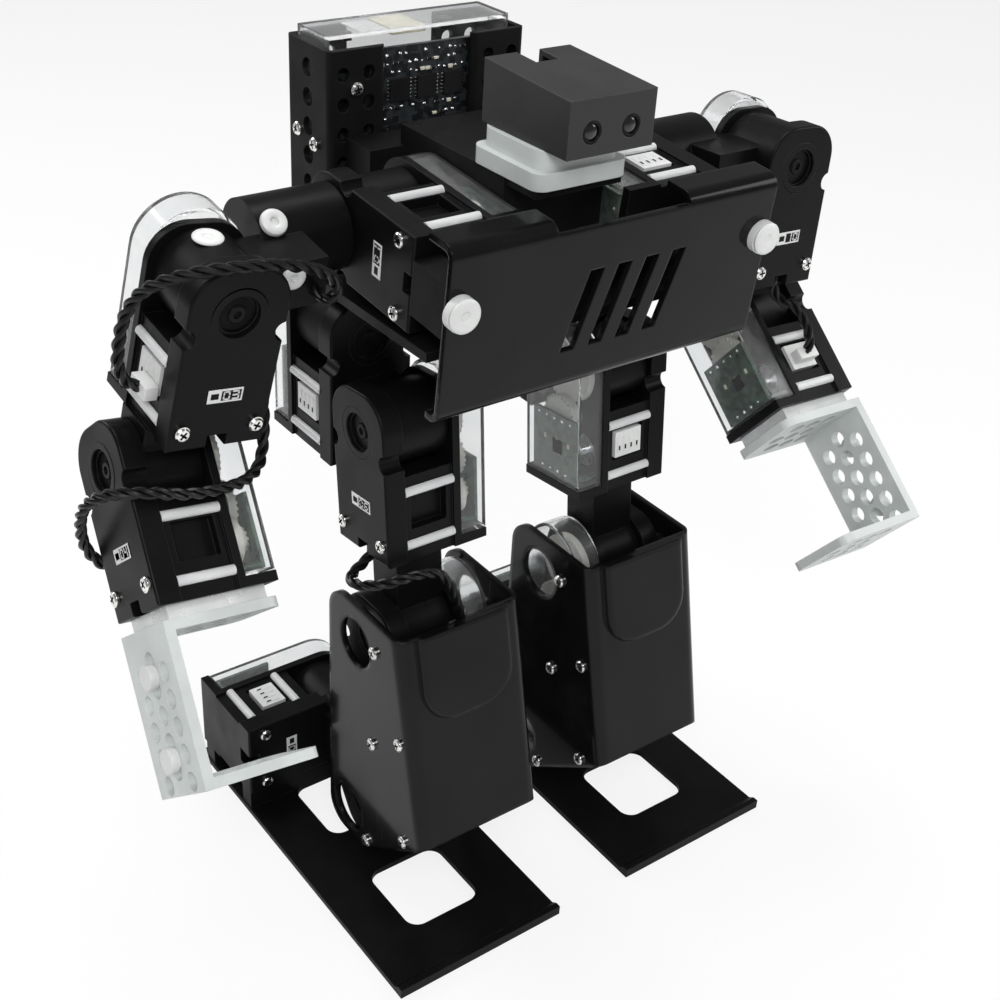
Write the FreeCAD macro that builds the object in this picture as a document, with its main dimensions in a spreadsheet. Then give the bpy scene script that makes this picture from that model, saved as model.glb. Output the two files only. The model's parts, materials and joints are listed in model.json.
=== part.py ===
import FreeCAD, Part
import math
import os
import re

import Sketcher
from FreeCAD import Placement, Rotation, Vector

# Humanoid robot with sixteen identical servo modules, two feet, two open hands and a controller
# pack, with the leads that run between its modules. Millimetres. The robot faces -Y, its left is +X
# and it stands on Z = 0.
# A servo module has its own frame: X across it, Y into it from the outer face of its cover, and Z
# from its shaft to the top of its ears.

SIZES = {
    # Servo module
    "servo_width": 29.0,
    "servo_depth": 37.0,
    "tail_drop": 40.5,
    "ear_rise": 13.5,
    "ear_corner": 11.0,
    "cover_depth": 7.0,
    "ear_gap": 17.5,
    "rear_ear": 2.5,
    "block_drop": 12.0,
    "block_inset": 1.0,
    "tail_frame": 3.0,
    "tail_step": 0.5,
    "notch_radius": 3.0,
    "notch_drop": 6.0,
    "slot_width": 6.0,
    "slot_height": 4.0,
    "cover_recess_radius": 8.2,
    "cover_recess": 1.2,
    "cover_edge": 0.8,
    "pocket_depth": 3.2,
    "pocket_width": 13.0,
    "pocket_height": 11.0,
    "pocket_drop": 24.5,
    "socket_gap": 1.0,
    "crown_inset": 0.5,
    "crown_rise": 16.5,
    "clear_wall": 1.2,
    "clear_edge": 1.0,
    # Output wheel and gear train
    "wheel_radius": 12.5,
    "wheel_gap": 0.3,
    "saddle_gap": 0.6,
    "stub_radius": 5.5,
    "rear_stub_radius": 4.0,
    "shaft_clearance": 0.06,
    "stub_recess": 2.0,
    "output_gear_radius": 10.5,
    "train_gap": 0.9,
    "mesh_gap": 0.3,
    "middle_pinion_radius": 4.5,
    "middle_gear_radius": 7.5,
    "first_pinion_radius": 3.5,
    "first_gear_radius": 7.0,
    "gear_side_gap": 0.85,
    "first_gear_drop": 26.2,
    "motor_radius": 5.5,
    "motor_wall": 0.5,
    "motor_drop": 27.8,
    "motor_length": 15.0,
    "motor_pinion_radius": 2.0,
    "gear_pin_radius": 1.0,
    "board_thick": 1.2,
    "board_side_gap": 1.8,
    "board_height": 22.0,
    "board_gap": 0.4,
    "screw_across": 11.0,
    "screw_drop": 34.0,
    "screw_radius": 1.2,
    "screw_head_radius": 2.1,
    "screw_head": 0.9,
    "screw_length": 9.0,
    "side_pin_radius": 1.5,
    "side_pin_upper": 17.0,
    "side_pin_lower": 35.0,
    "neck_half": 7.0,
    # Torso
    "torso_pitch": 5.0,
    "hip_line": 2.5,
    "shoulder_cover": 55.2,
    "shoulder_back": 29.3,
    "shoulder_rise": 36.0,
    "chest_half": 57.5,
    "chest_front": -31.5,
    "chest_bottom": 4.0,
    "chest_top": 56.9,
    "chest_wall": 2.0,
    "chest_flap": 11.0,
    "chest_lip": 6.0,
    "chest_bend": 4.0,
    "flap_inner": 23.5,
    "flap_notch": 3.0,
    "vent_count": 4,
    "vent_width": 5.0,
    "vent_pitch": 10.0,
    "vent_low": 17.0,
    "vent_rise": 24.0,
    "vent_slant": 7.0,
    "rivet_across": 54.3,
    "rivet_rise": 38.7,
    "rivet_head_radius": 5.0,
    "rivet_head": 2.5,
    "rivet_shank_radius": 2.4,
    "rivet_bore_gap": 0.05,
    "core_back": 48.0,
    "pack_mount_front": 46.5,
    "pack_mount_half": 30.0,
    "pack_mount_height": 34.0,
    "core_front": -4.0,
    "core_top": 58.5,
    "waist_bottom": 18.2,
    "waist_thick": 3.0,
    "waist_half": 55.0,
    "waist_front": -22.0,
    "waist_back": 57.5,
    "bracket_wide": 9.0,
    "bracket_high": 16.0,
    # Head
    "head_half": 15.0,
    "head_front": -26.2,
    "head_back": 12.0,
    "head_bottom": 69.1,
    "head_top": 85.0,
    "head_slope": 2.0,
    "head_wall": 1.6,
    "head_notch_half": 4.0,
    "head_notch_deep": 9.0,
    "head_notch_drop": 3.0,
    "eye_across": 6.8,
    "eye_rise": 6.6,
    "eye_radius": 3.2,
    "eye_length": 9.0,
    "eye_gap": 0.05,
    "eye_recess": 0.5,
    "riser_left": 14.0,
    "riser_right": -18.5,
    "riser_front": -19.5,
    "riser_back": 12.0,
    "riser_corner": 4.0,
    "riser_upper": 5.0,
    "riser_step": 2.0,
    "head_base_inset": 1.0,
    "head_base_thick": 2.5,
    # Controller
    "pack_half": 36.0,
    "pack_front": 60.0,
    "pack_back": 85.0,
    "pack_bottom": 19.5,
    "pack_plate_top": 78.5,
    "pack_top": 81.5,
    "pack_wall": 2.0,
    "pack_flange": 20.0,
    "pack_gap": 0.3,
    "pack_hole_radius": 2.2,
    "pack_hole_pitch": 9.0,
    "pack_hole_rows": 6,
    "pack_hole_start": 6.75,
    "pack_hole_inset": 5.0,
    "pack_hole_column": 9.0,
    "pack_side_hole_radius": 2.9,
    "pack_board": 1.6,
    "pack_board_inset": 2.0,
    "pack_board_room": 1.2,
    "pack_floor_gap": 1.0,
    "chip_half": 3.5,
    "chip_thick": 1.0,
    "chip_column": -9.0,
    "chip_column_pitch": 10.0,
    "chip_row": 16.0,
    "chip_row_pitch": 14.0,
    # Arms
    "barrel_radius": 12.5,
    "barrel_gap": 0.8,
    "barrel_end": 83.5,
    "arm_axis": 101.2,
    "arm_forward": 16.0,
    "flange_width": 12.0,
    "elbow_drop": 58.0,
    "elbow_offset": 3.5,
    "hand_spacer": 4.0,
    "hand_spacer_half": 12.0,
    "hand_wall": 3.0,
    "hand_height": 46.0,
    "hand_reach": 36.0,
    "hand_corner": 4.0,
    "hand_hole_radius": 2.8,
    "hand_hole_pitch": 7.5,
    "hand_rivet_radius": 3.5,
    "hand_rivet_upper": 13.0,
    "hand_rivet_lower": 36.0,
    # Legs
    "leg_centre": 37.0,
    "hip_cover": 29.0,
    "hip_pitch_back": 12.0,
    "hip_pitch_drop": 19.5,
    "knee_drop": 72.0,
    "ankle_drop": 72.8,
    "ankle_back": 3.7,
    "ankle_height": 23.6,
    "ankle_servo_tilt": 126.0,
    "shell_half": 23.5,
    "shell_wall": 2.0,
    "shell_back": 16.0,
    "shell_top": 14.5,
    "shell_brow": -24.0,
    "shell_toe": -41.0,
    "shell_toe_rise": -58.0,
    "shell_heel": -5.3,
    "shell_heel_rise": -84.5,
    "shell_corner": 4.0,
    "shell_round": 9.0,
    "ring_radius": 8.6,
    "boss_radius": 3.0,
    "cup_radius": 3.4,
    "cup_gap": 0.3,
    "brow_screw_inset": 3.0,
    "brow_screw_rise": 3.5,
    "heel_screw_front": 11.7,
    "heel_screw_drop": 6.6,
    "shell_bar_front": -26.5,
    "shell_bar_drop": 23.0,
    "knee_pad_half": 17.0,
    "knee_pad_length": 31.0,
    "knee_pad_rise": 2.5,
    "knee_pad_corner": 12.0,
    "knee_pad_edge": 1.5,
    "foot_inner": 15.0,
    "foot_outer": 79.4,
    "foot_front": -62.7,
    "foot_back": 75.8,
    "foot_thick": 2.0,
    "foot_lip": 3.5,
    "foot_lip_slope": 2.0,
    "foot_corner": 3.0,
    "window_inner": 33.3,
    "window_outer": 61.4,
    "window_front": -42.2,
    "window_length": 29.0,
    "window_pitch": 51.0,
    "window_corner": 5.0,
    "pedestal_width": 6.0,
    "pedestal_gap": 0.5,
    "pedestal_edge": 0.4,
    "roll_cover": 36.8,
    "roll_axis": 38.5,
    "ankle_link": 3.0,
    "ankle_link_gap": 0.5,
    "ankle_link_half": 10.0,
    # Leads between the modules
    "lead_radius": 1.8,
    # Pose at rest, in degrees
    "thigh_pitch": 6.0,
    "right_shoulder_pitch": 9.0,
    "left_shoulder_pitch": -1.7,
    "right_arm_lean": 8.5,
    "left_arm_lean": -3.0,
    "right_elbow_flex": 49.6,
    "left_elbow_flex": 49.6,
}

doc = FreeCAD.newDocument("humanoid_robot")
sheet = doc.addObject("Spreadsheet::Sheet", "sizes")
for row, (alias, amount) in enumerate(SIZES.items(), 1):
    sheet.set(f"A{row}", alias)
    sheet.set(f"B{row}", str(amount))
    sheet.setAlias(f"B{row}", alias)
doc.recompute()

X = Vector(1, 0, 0)
Y = Vector(0, 1, 0)
Z = Vector(0, 0, 1)
ALONG = {"x": Rotation(Y, 90), "y": Rotation(X, -90), "z": Rotation()}
SIDES = {"right": -1, "left": 1}
PAST = 1.0  # how far a cutting tool reaches past the face that it opens
TURN_ERROR = 1e-6
PLACE_ERROR = 0.01

nodes = []


def size(alias):
    """The number in the sheet under this alias."""
    return float(sheet.get(alias))


def formula(text):
    """An expression on the sheet, from words that are its aliases."""
    return re.sub(r"[a-z]\w*", lambda word: "sizes." + word.group(0), str(text))


def block(name, x, y, z):
    """A box between two limits along each axis."""
    box = doc.addObject("Part::Box", name)
    for axis, side, (low, high) in zip("xyz", ("Length", "Width", "Height"), (x, y, z)):
        box.setExpression(side, formula(f"({high}) - ({low})"))
        box.setExpression(f"Placement.Base.{axis}", formula(low))
    return box


def rod(name, axis, radius, span, at):
    """A cylinder between two limits along an axis. 'at' holds its other two coordinates."""
    cylinder = doc.addObject("Part::Cylinder", name)
    cylinder.Placement = Placement(Vector(), ALONG[axis])
    cylinder.setExpression("Radius", formula(radius))
    cylinder.setExpression("Height", formula(f"({span[1]}) - ({span[0]})"))
    places = list(at)
    places.insert("xyz".index(axis), span[0])
    for letter, place in zip("xyz", places):
        cylinder.setExpression(f"Placement.Base.{letter}", formula(place))
    return cylinder


def fuse(name, *shapes):
    """One solid of several that meet."""
    union = doc.addObject("Part::MultiFuse", name)
    union.Shapes = list(shapes)
    union.Refine = True
    return union


def cut(name, base, *tools):
    """The base without the tools."""
    result = doc.addObject("Part::Cut", name)
    result.Base = base
    result.Tool = tools[0] if len(tools) == 1 else fuse(name + "_tools", *tools)
    return result


def rounded(name, base, radius, wanted):
    """The base with a round of this radius on each edge that is wanted."""
    doc.recompute()
    result = doc.addObject("Part::Fillet", name)
    result.Base = base
    result.Edges = [
        (number, radius, radius)
        for number, edge in enumerate(base.Shape.Edges, 1)
        if wanted(edge)
    ]
    return result


def copy_of(master, placement, name):
    """A linked copy of a master piece."""
    link = doc.addObject("App::Link", name)
    link.LinkedObject = master
    link.LinkTransform = True
    link.Placement = placement
    return link


def node(label, placement, *pieces):
    """A sub-part of one or more separate pieces, placed as a whole."""
    group = doc.addObject("Part::Compound", label)
    group.Label = label
    group.Links = list(pieces)
    group.Placement = placement
    nodes.append(group)
    return group


def origin_plane(body, role):
    """One of the body's own origin planes."""
    return next(plane for plane in body.Origin.OriginFeatures if plane.Role == role)


def outline(body, name, role, points):
    """A closed sketch of straight lines whose corners are bound to the sheet."""
    sketch = body.newObject("Sketcher::SketchObject", name)
    sketch.AttachmentSupport = [(origin_plane(body, role), "")]
    sketch.MapMode = "FlatFace"
    places = [tuple(doc.sizes.evalExpression(formula(word)) for word in point) for point in points]
    for start, end in zip(places, places[1:] + places[:1]):
        sketch.addGeometry(Part.LineSegment(Vector(*start, 0), Vector(*end, 0)))
    for corner in range(len(points)):
        sketch.addConstraint(Sketcher.Constraint("Coincident", corner, 2, (corner + 1) % len(points), 1))
    for corner, point in enumerate(points):
        for kind, word, place in zip(("DistanceX", "DistanceY"), point, places[corner]):
            number = sketch.addConstraint(Sketcher.Constraint(kind, -1, 1, corner, 1, float(place)))
            sketch.setExpression(f"Constraints[{number}]", formula(word))
    return sketch


def pad(body, name, sketch, length):
    """A pad to both sides of its sketch."""
    feature = body.newObject("PartDesign::Pad", name)
    feature.Profile = sketch
    feature.Midplane = True
    feature.setExpression("Length", formula(length))
    return feature


def pocket(body, name, sketch, length):
    """A pocket to both sides of its sketch."""
    feature = body.newObject("PartDesign::Pocket", name)
    feature.Profile = sketch
    feature.Midplane = True
    feature.setExpression("Length", formula(length))
    return feature


def near(edge, direction, **places):
    """Tells whether a straight edge runs this way through these coordinates of its middle."""
    if edge.Curve.TypeId != "Part::GeomLine":
        return False
    if abs(abs(edge.Curve.Direction.dot(direction)) - 1) > TURN_ERROR:
        return False
    middle = edge.CenterOfMass
    return all(abs(getattr(middle, axis) - place) < PLACE_ERROR for axis, place in places.items())


def mirrored(side, near_end, far_end):
    """Limits along X of a piece that lies between two distances from the middle."""
    return (near_end, far_end) if side > 0 else (f"-({far_end})", f"-({near_end})")


# ---------------------------------------------------------------- Servo module

HALF = "servo_width / 2"
BACK_EAR = "cover_depth + ear_gap"
MIDDLE_DEPTH = "(cover_depth + ear_gap / 2)"
CASE_BACK = "cover_depth + ear_gap + rear_ear"
CROWN_HALF = "(servo_width / 2 - crown_inset)"
POCKET_FACE = "(servo_width / 2 - block_inset - pocket_depth)"
GEAR_ROOM = f"servo_depth - ({CASE_BACK}) - 2 * clear_wall - mesh_gap - board_thick - board_gap - train_gap"
GEAR_THICK = f"({GEAR_ROOM}) / 2"
BOARD_HALF = f"({CROWN_HALF} - clear_wall - board_side_gap)"
MOTOR_AT = (f"-({POCKET_FACE} - motor_wall - motor_radius - shaft_clearance)", "-motor_drop")
FIRST_AT = (f"{CROWN_HALF} - clear_wall - gear_side_gap - first_gear_radius", "-first_gear_drop")
MIDDLE_AT = ("0", "-(output_gear_radius + middle_pinion_radius + mesh_gap)")


def ear(name, depth):
    """The module's full outline with its rounded top, as thick as the depth says."""
    corner_x = "servo_width / 2 - ear_corner"
    corner_z = "ear_rise - ear_corner"
    return fuse(
        name,
        block(name + "_sides", (f"-{HALF}", HALF), depth, ("-tail_drop", corner_z)),
        block(name + "_middle", (f"-({corner_x})", corner_x), depth, (corner_z, "ear_rise")),
        rod(name + "_corner_a", "y", "ear_corner", depth, (f"-({corner_x})", corner_z)),
        rod(name + "_corner_b", "y", "ear_corner", depth, (corner_x, corner_z)),
    )


def servo_case():
    """The black body: cover with the front ear, motor block, rear ear and tail frame."""
    cover = rounded(
        "servo_cover",
        ear("cover_blank", ("0", "cover_depth")),
        size("cover_edge"),
        lambda edge: edge.BoundBox.YMax < PLACE_ERROR,
    )
    inner = f"{HALF} - block_inset"
    between_ears = ("cover_depth", BACK_EAR)
    body = fuse(
        "case_body",
        cover,
        ear("back_ear", (BACK_EAR, CASE_BACK)),
        block("motor_block", (f"-({inner})", inner), between_ears, ("-tail_drop", "-block_drop")),
        block(
            "tail_frame",
            (f"-{HALF}", HALF),
            (CASE_BACK, "servo_depth - tail_step"),
            ("-tail_drop", "-tail_drop + tail_frame"),
        ),
    )
    front = (f"-{PAST}", "cover_depth")
    pocket_y = (f"{MIDDLE_DEPTH} - pocket_width / 2", f"{MIDDLE_DEPTH} + pocket_width / 2")
    pocket_z = ("-pocket_drop - pocket_height / 2", "-pocket_drop + pocket_height / 2")
    tools = [
        rod("saddle", "y", "wheel_radius + saddle_gap", between_ears, ("0", "0")),
        rod("cover_recess", "y", "cover_recess_radius", (f"-{PAST}", "cover_recess"), ("0", "0")),
        rod("cover_bore", "y", "stub_radius + shaft_clearance", front, ("0", "0")),
        rod("ear_bore", "y", "rear_stub_radius + shaft_clearance", (BACK_EAR, CASE_BACK), ("0", "0")),
        block(
            "tail_slot",
            ("-slot_width / 2", "slot_width / 2"),
            front,
            (f"-tail_drop - {PAST}", "-tail_drop + slot_height"),
        ),
        rod(
            "motor_bore",
            "y",
            "motor_radius + shaft_clearance",
            (f"{CASE_BACK} - motor_length", CASE_BACK),
            MOTOR_AT,
        ),
    ]
    for sign in ("-", ""):
        edge = f"{sign}({HALF})"
        tools.append(rod("notch", "y", "notch_radius", front, (edge, "-notch_drop")))
        screw_at = (f"{sign}screw_across", "-screw_drop")
        tools.append(rod("screw_bore", "y", "screw_radius", ("0", "screw_length"), screw_at))
        pocket_x = (f"-{HALF}", f"-{POCKET_FACE}") if sign else (POCKET_FACE, HALF)
        tools.append(block("side_pocket", pocket_x, pocket_y, pocket_z))
        for drop in ("side_pin_upper", "side_pin_lower"):
            pin_at = (f"{sign}({inner})", f"-{drop}")
            tools.append(rod("pin_groove", "y", "side_pin_radius", between_ears, pin_at))
    return cut("servo_case", body, *tools)


def servo_rear_case():
    """The clear rear housing over the gear train, open towards the black body."""
    def shape(name, half, depth, bottom, edge_radius=None):
        centre = f"crown_rise - {CROWN_HALF}"
        blank = fuse(
            name + "_blank",
            block(name + "_box", (f"-({half})", half), depth, (bottom, centre)),
            rod(name + "_crown", "y", half, depth, ("0", centre)),
        )
        if edge_radius is None:
            return blank
        back = size("servo_depth") - PLACE_ERROR
        return rounded(name, blank, edge_radius, lambda edge: edge.BoundBox.YMin > back)

    bottom = "-tail_drop + tail_frame"
    outer = shape("clear_outer", CROWN_HALF, (CASE_BACK, "servo_depth"), bottom, size("clear_edge"))
    inner = shape(
        "clear_inner",
        f"{CROWN_HALF} - clear_wall",
        (CASE_BACK, "servo_depth - clear_wall"),
        f"{bottom} + clear_wall",
    )
    return cut("servo_rear_case", outer, inner)


def servo_drive():
    """Motor, gear train, circuit board, lead socket, screws and side pins of one module."""
    low = (f"{CASE_BACK} + clear_wall", f"{CASE_BACK} + clear_wall + {GEAR_THICK}")
    high = (f"{low[1]} + mesh_gap", f"{low[1]} + mesh_gap + {GEAR_THICK}")
    pin = (CASE_BACK, low[0])
    middle = fuse(
        "middle_gear",
        rod("middle_pinion", "y", "middle_pinion_radius", (low[0], high[0]), MIDDLE_AT),
        rod("middle_wheel", "y", "middle_gear_radius", high, MIDDLE_AT),
        rod("middle_pin", "y", "gear_pin_radius", pin, MIDDLE_AT),
    )
    first = fuse(
        "first_gear",
        rod("first_wheel", "y", "first_gear_radius", low, FIRST_AT),
        rod("first_pinion", "y", "first_pinion_radius", (low[1], high[1]), FIRST_AT),
        rod("first_pin", "y", "gear_pin_radius", pin, FIRST_AT),
    )
    motor = fuse(
        "motor",
        rod("motor_can", "y", "motor_radius", (f"{CASE_BACK} - motor_length", CASE_BACK), MOTOR_AT),
        rod("motor_pinion", "y", "motor_pinion_radius", (CASE_BACK, low[1]), MOTOR_AT),
    )
    board_back = "servo_depth - clear_wall - board_gap"
    board_bottom = "-tail_drop + tail_frame + clear_wall + board_gap"
    posts = [
        rod(
            "board_post",
            "y",
            "gear_pin_radius",
            (CASE_BACK, f"{board_back} - board_thick"),
            (f"{sign}({BOARD_HALF} - gear_pin_radius)", f"{board_bottom} + gear_pin_radius"),
        )
        for sign in ("-", "")
    ]
    board = fuse(
        "servo_board",
        block(
            "servo_board_plate",
            (f"-{BOARD_HALF}", BOARD_HALF),
            (f"{board_back} - board_thick", board_back),
            (board_bottom, f"{board_bottom} + board_height"),
        ),
        *posts,
    )
    socket_half = "(pocket_width / 2 - socket_gap)"
    socket_rise = "(pocket_height / 2 - socket_gap)"
    socket = block(
        "lead_socket",
        (f"-({HALF} - block_inset / 2)", f"-{POCKET_FACE}"),
        (f"{MIDDLE_DEPTH} - {socket_half}", f"{MIDDLE_DEPTH} + {socket_half}"),
        (f"-pocket_drop - {socket_rise}", f"-pocket_drop + {socket_rise}"),
    )
    pieces = [middle, first, motor, board, socket]
    for sign in ("-", ""):
        at = (f"{sign}screw_across", "-screw_drop")
        pieces.append(
            fuse(
                "cover_screw",
                rod("screw_head", "y", "screw_head_radius", ("-screw_head", "0"), at),
                rod("screw_shank", "y", "screw_radius", ("0", "screw_length"), at),
            )
        )
        for drop in ("side_pin_upper", "side_pin_lower"):
            place = (f"{sign}({HALF} - block_inset)", f"-{drop}")
            pieces.append(rod("side_pin", "y", "side_pin_radius", ("cover_depth", BACK_EAR), place))
    drive = doc.addObject("Part::Compound", "servo_drive")
    drive.Links = pieces
    return drive


WHEEL = ("cover_depth + wheel_gap", f"{BACK_EAR} - wheel_gap")
WHEEL_HALF = "(ear_gap / 2 - wheel_gap)"


def wheel_pieces(name):
    """The output wheel between the ears with its two stub shafts."""
    gear_face = f"{CASE_BACK} + clear_wall"
    return [
        rod(name + "_rim", "y", "wheel_radius", WHEEL, ("0", "0")),
        rod(name + "_stub", "y", "stub_radius", ("stub_recess", WHEEL[0]), ("0", "0")),
        rod(name + "_rear_stub", "y", "rear_stub_radius", (WHEEL[1], gear_face), ("0", "0")),
    ]


def output_gear():
    """The last gear of the train, fast on the wheel's rear stub."""
    face = f"{CASE_BACK} + clear_wall"
    return rod("output_gear", "y", "output_gear_radius", (face, f"{face} + {GEAR_THICK}"), ("0", "0"))


def neck(name, top):
    """A bar that rises from the wheel between the ears."""
    return block(name, ("-neck_half", "neck_half"), WHEEL, ("0", top))


case_master = servo_case()
rear_master = servo_rear_case()
drive_master = servo_drive()
gear_master = output_gear()
wheel_master = fuse("output_wheel", *wheel_pieces("output"))
elbow_master = fuse("elbow_block", *wheel_pieces("elbow"), neck("elbow_neck", "elbow_drop - tail_drop"))
knee_master = fuse("knee_block", *wheel_pieces("knee"), neck("knee_neck", "knee_drop - tail_drop"))


def servo_nodes(names, placement, extra_case=(), extra_drive=()):
    """The three nodes of a module, whose case and drive may carry further pieces."""
    masters = (case_master, rear_master, drive_master)
    for name, master, extra in zip(names, masters, (extra_case, (), extra_drive)):
        node(name, placement, copy_of(master, Placement(), name + "_copy"), *extra)


def outward(side):
    """Turns a module so that its cover faces away from the middle."""
    return Placement(Vector(), Rotation(Z, 90 * side))


# ---------------------------------------------------------------- Leg frames

hip_x = size("leg_centre") + size("servo_depth") / 2
middle_depth = size("cover_depth") + size("ear_gap") / 2
thigh_turn = Rotation(X, -size("thigh_pitch"))
HIP_X = "leg_centre + servo_depth / 2 - cover_depth - ear_gap / 2"

# The leg is worked out from the hip-pitch shaft down, and then lifted so that the foot stands on Z = 0.
hip_pitch_at = Vector(0, size("hip_pitch_back"), 0)
knee_at = hip_pitch_at + thigh_turn * Vector(0, 0, -size("knee_drop"))
ankle_at = knee_at + Vector(0, size("ankle_back"), -size("ankle_drop"))
lift = Vector(0, 0, size("ankle_height") - ankle_at.z)
hip_pitch_at += lift
knee_at += lift
ankle_at += lift
hip_roll_at = Vector(0, 0, hip_pitch_at.z + size("hip_pitch_drop"))

# ---------------------------------------------------------------- Torso

level = Placement(hip_roll_at, Rotation())
torso = level * Placement(Vector(0, 0, size("hip_line")), Rotation(X, size("torso_pitch")))


def shoulder_servo(side):
    """The place of a shoulder-pitch module in the pitched torso: cover outward, tail forward."""
    place = Vector(side * size("shoulder_cover"), size("shoulder_back"), size("shoulder_rise"))
    return Placement(place, ALONG["y"]) * outward(side)


for label, master in (
    ("shoulder_servo_cases", case_master),
    ("shoulder_servo_rear_cases", rear_master),
    ("shoulder_servo_drives", drive_master),
):
    node(
        label,
        torso,
        *[copy_of(master, shoulder_servo(side), f"{name}_{label}") for name, side in SIDES.items()],
    )


def chest_plate():
    """The folded chest plate, with a lip below, a flap above each shoulder, and slanted vents."""
    body = doc.addObject("PartDesign::Body", "chest_body")
    lip = "chest_front + chest_lip"
    section = outline(
        body,
        "chest_section",
        "YZ_Plane",
        [
            ("chest_front", "chest_bottom"),
            (lip, "chest_bottom"),
            (lip, "chest_bottom + chest_wall"),
            ("chest_front + chest_wall", "chest_bottom + chest_wall"),
            ("chest_front + chest_wall", "chest_top - chest_wall"),
            ("chest_front + chest_flap", "chest_top - chest_wall"),
            ("chest_front + chest_flap", "chest_top"),
            ("chest_front", "chest_top"),
        ],
    )
    pad(body, "chest_pad", section, "2 * chest_half")
    doc.recompute()
    front, wall = size("chest_front"), size("chest_wall")
    low, high = size("chest_bottom"), size("chest_top")
    base = doc.chest_pad
    for name, radius, inset in (
        ("outer_bend", size("chest_bend"), 0),
        ("inner_bend", size("chest_bend") - wall, wall),
    ):
        edges = [
            f"Edge{number}"
            for number, edge in enumerate(base.Shape.Edges, 1)
            if near(edge, X, y=front + inset, z=low + inset) or near(edge, X, y=front + inset, z=high - inset)
        ]
        bend = body.newObject("PartDesign::Fillet", name)
        bend.Base = (base, edges)
        bend.Radius = radius
        doc.recompute()
        base = bend
    tools = [
        block(
            "flap_notch",
            ("-flap_inner", "flap_inner"),
            (f"chest_front - {PAST}", f"chest_front + chest_flap + {PAST}"),
            ("chest_top - flap_notch", f"chest_top + {PAST}"),
        ),
        block(
            "flap_opening",
            ("-flap_inner", "flap_inner"),
            ("chest_front + chest_wall", f"chest_front + chest_flap + {PAST}"),
            (f"chest_top - chest_bend - {PAST}", f"chest_top + {PAST}"),
        ),
    ]
    for side in SIDES.values():
        tools.append(
            rod(
                "rivet_bore",
                "y",
                "rivet_shank_radius + rivet_bore_gap",
                (f"chest_front - {PAST}", f"chest_front + chest_wall + {PAST}"),
                (f"{side} * rivet_across", "rivet_rise"),
            )
        )
    for number in range(int(size("vent_count"))):
        middle = f"(({number} - (vent_count - 1) / 2) * vent_pitch)"
        tools.append(vent(f"vent_{number}", middle))
    return cut("chest_sheet", body, *tools)


def vent(name, middle):
    """One slanted slot through the chest plate."""
    body = doc.addObject("PartDesign::Body", name + "_body")
    top = "vent_low + vent_rise"
    sketch = outline(
        body,
        name,
        "XZ_Plane",
        [
            (f"{middle} - vent_width / 2", "vent_low"),
            (f"{middle} + vent_width / 2", "vent_low"),
            (f"{middle} + vent_width / 2 + vent_slant", top),
            (f"{middle} - vent_width / 2 + vent_slant", top),
        ],
    )
    pad(body, name + "_pad", sketch, "4 * chest_wall")
    body.setExpression("Placement.Base.y", formula("chest_front + chest_wall / 2"))
    return body


def rivet(name, at):
    """A push rivet whose head stands on a face and whose shank passes through the sheet."""
    x, y, z = at
    return fuse(
        name,
        rod(name + "_head", "y", "rivet_head_radius", (f"{y} - rivet_head", y), (x, z)),
        rod(name + "_shank", "y", "rivet_shank_radius", (y, f"{y} + chest_wall"), (x, z)),
    )


node("chest_plate", torso, chest_plate())
node(
    "chest_rivets",
    torso,
    *[
        rivet(f"{name}_rivet", (f"{side} * rivet_across", "chest_front", "rivet_rise"))
        for name, side in SIDES.items()
    ],
)


def torso_frame():
    """Waist plate, centre core, head base, pack mount and hangers for the hip-roll wheels."""
    inner = "shoulder_cover - servo_depth"
    pieces = [
        block(
            "waist_plate",
            ("-waist_half", "waist_half"),
            ("waist_front", "waist_back"),
            ("waist_bottom", "waist_bottom + waist_thick"),
        ),
        block(
            "core",
            (f"-({inner})", inner),
            ("core_front", "core_back"),
            ("waist_bottom", "core_top"),
        ),
        block(
            "pack_mount",
            ("-pack_mount_half", "pack_mount_half"),
            ("pack_mount_front", "pack_front"),
            ("waist_bottom", "waist_bottom + pack_mount_height"),
        ),
        block(
            "head_base",
            ("riser_right + head_base_inset", "riser_left - head_base_inset"),
            ("riser_front + riser_step", "core_back"),
            ("core_top - head_base_thick", "core_top"),
        ),
    ]
    for name, side in SIDES.items():
        wheel_x = f"({side} * ({HIP_X}))"
        wheel_at = Placement(Vector(side * (hip_x - middle_depth), size("hip_cover"), 0), Rotation())
        pieces.append(copy_of(wheel_master, wheel_at, f"{name}_hip_wheel"))
        pieces.append(
            block(
                f"{name}_hanger",
                (f"{wheel_x} - neck_half", f"{wheel_x} + neck_half"),
                (f"hip_cover + {WHEEL[0]}", f"hip_cover + {WHEEL[1]}"),
                ("0", "waist_bottom + waist_thick"),
            )
        )
    return fuse("torso_casting", *pieces)


def chest_brackets():
    """Blocks that carry the chest plate on the tails of the shoulder modules."""
    return [
        block(
            f"{name}_chest_bracket",
            mirrored(side, "shoulder_cover - bracket_wide", "shoulder_cover"),
            ("chest_front + chest_wall", "shoulder_back - tail_drop"),
            ("shoulder_rise - bracket_high / 2", "shoulder_rise + bracket_high / 2"),
        )
        for name, side in SIDES.items()
    ]


hip_gears = [
    copy_of(
        gear_master,
        Placement(Vector(side * (hip_x - middle_depth), size("hip_cover"), 0), Rotation()),
        f"{name}_hip_gear",
    )
    for name, side in SIDES.items()
]
bracket_group = doc.addObject("Part::Compound", "chest_bracket_pair")
bracket_group.Links = chest_brackets()
bracket_group.Placement = level.inverse() * torso
node("torso_frame", level, torso_frame(), bracket_group, *hip_gears)

# ---------------------------------------------------------------- Head


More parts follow.
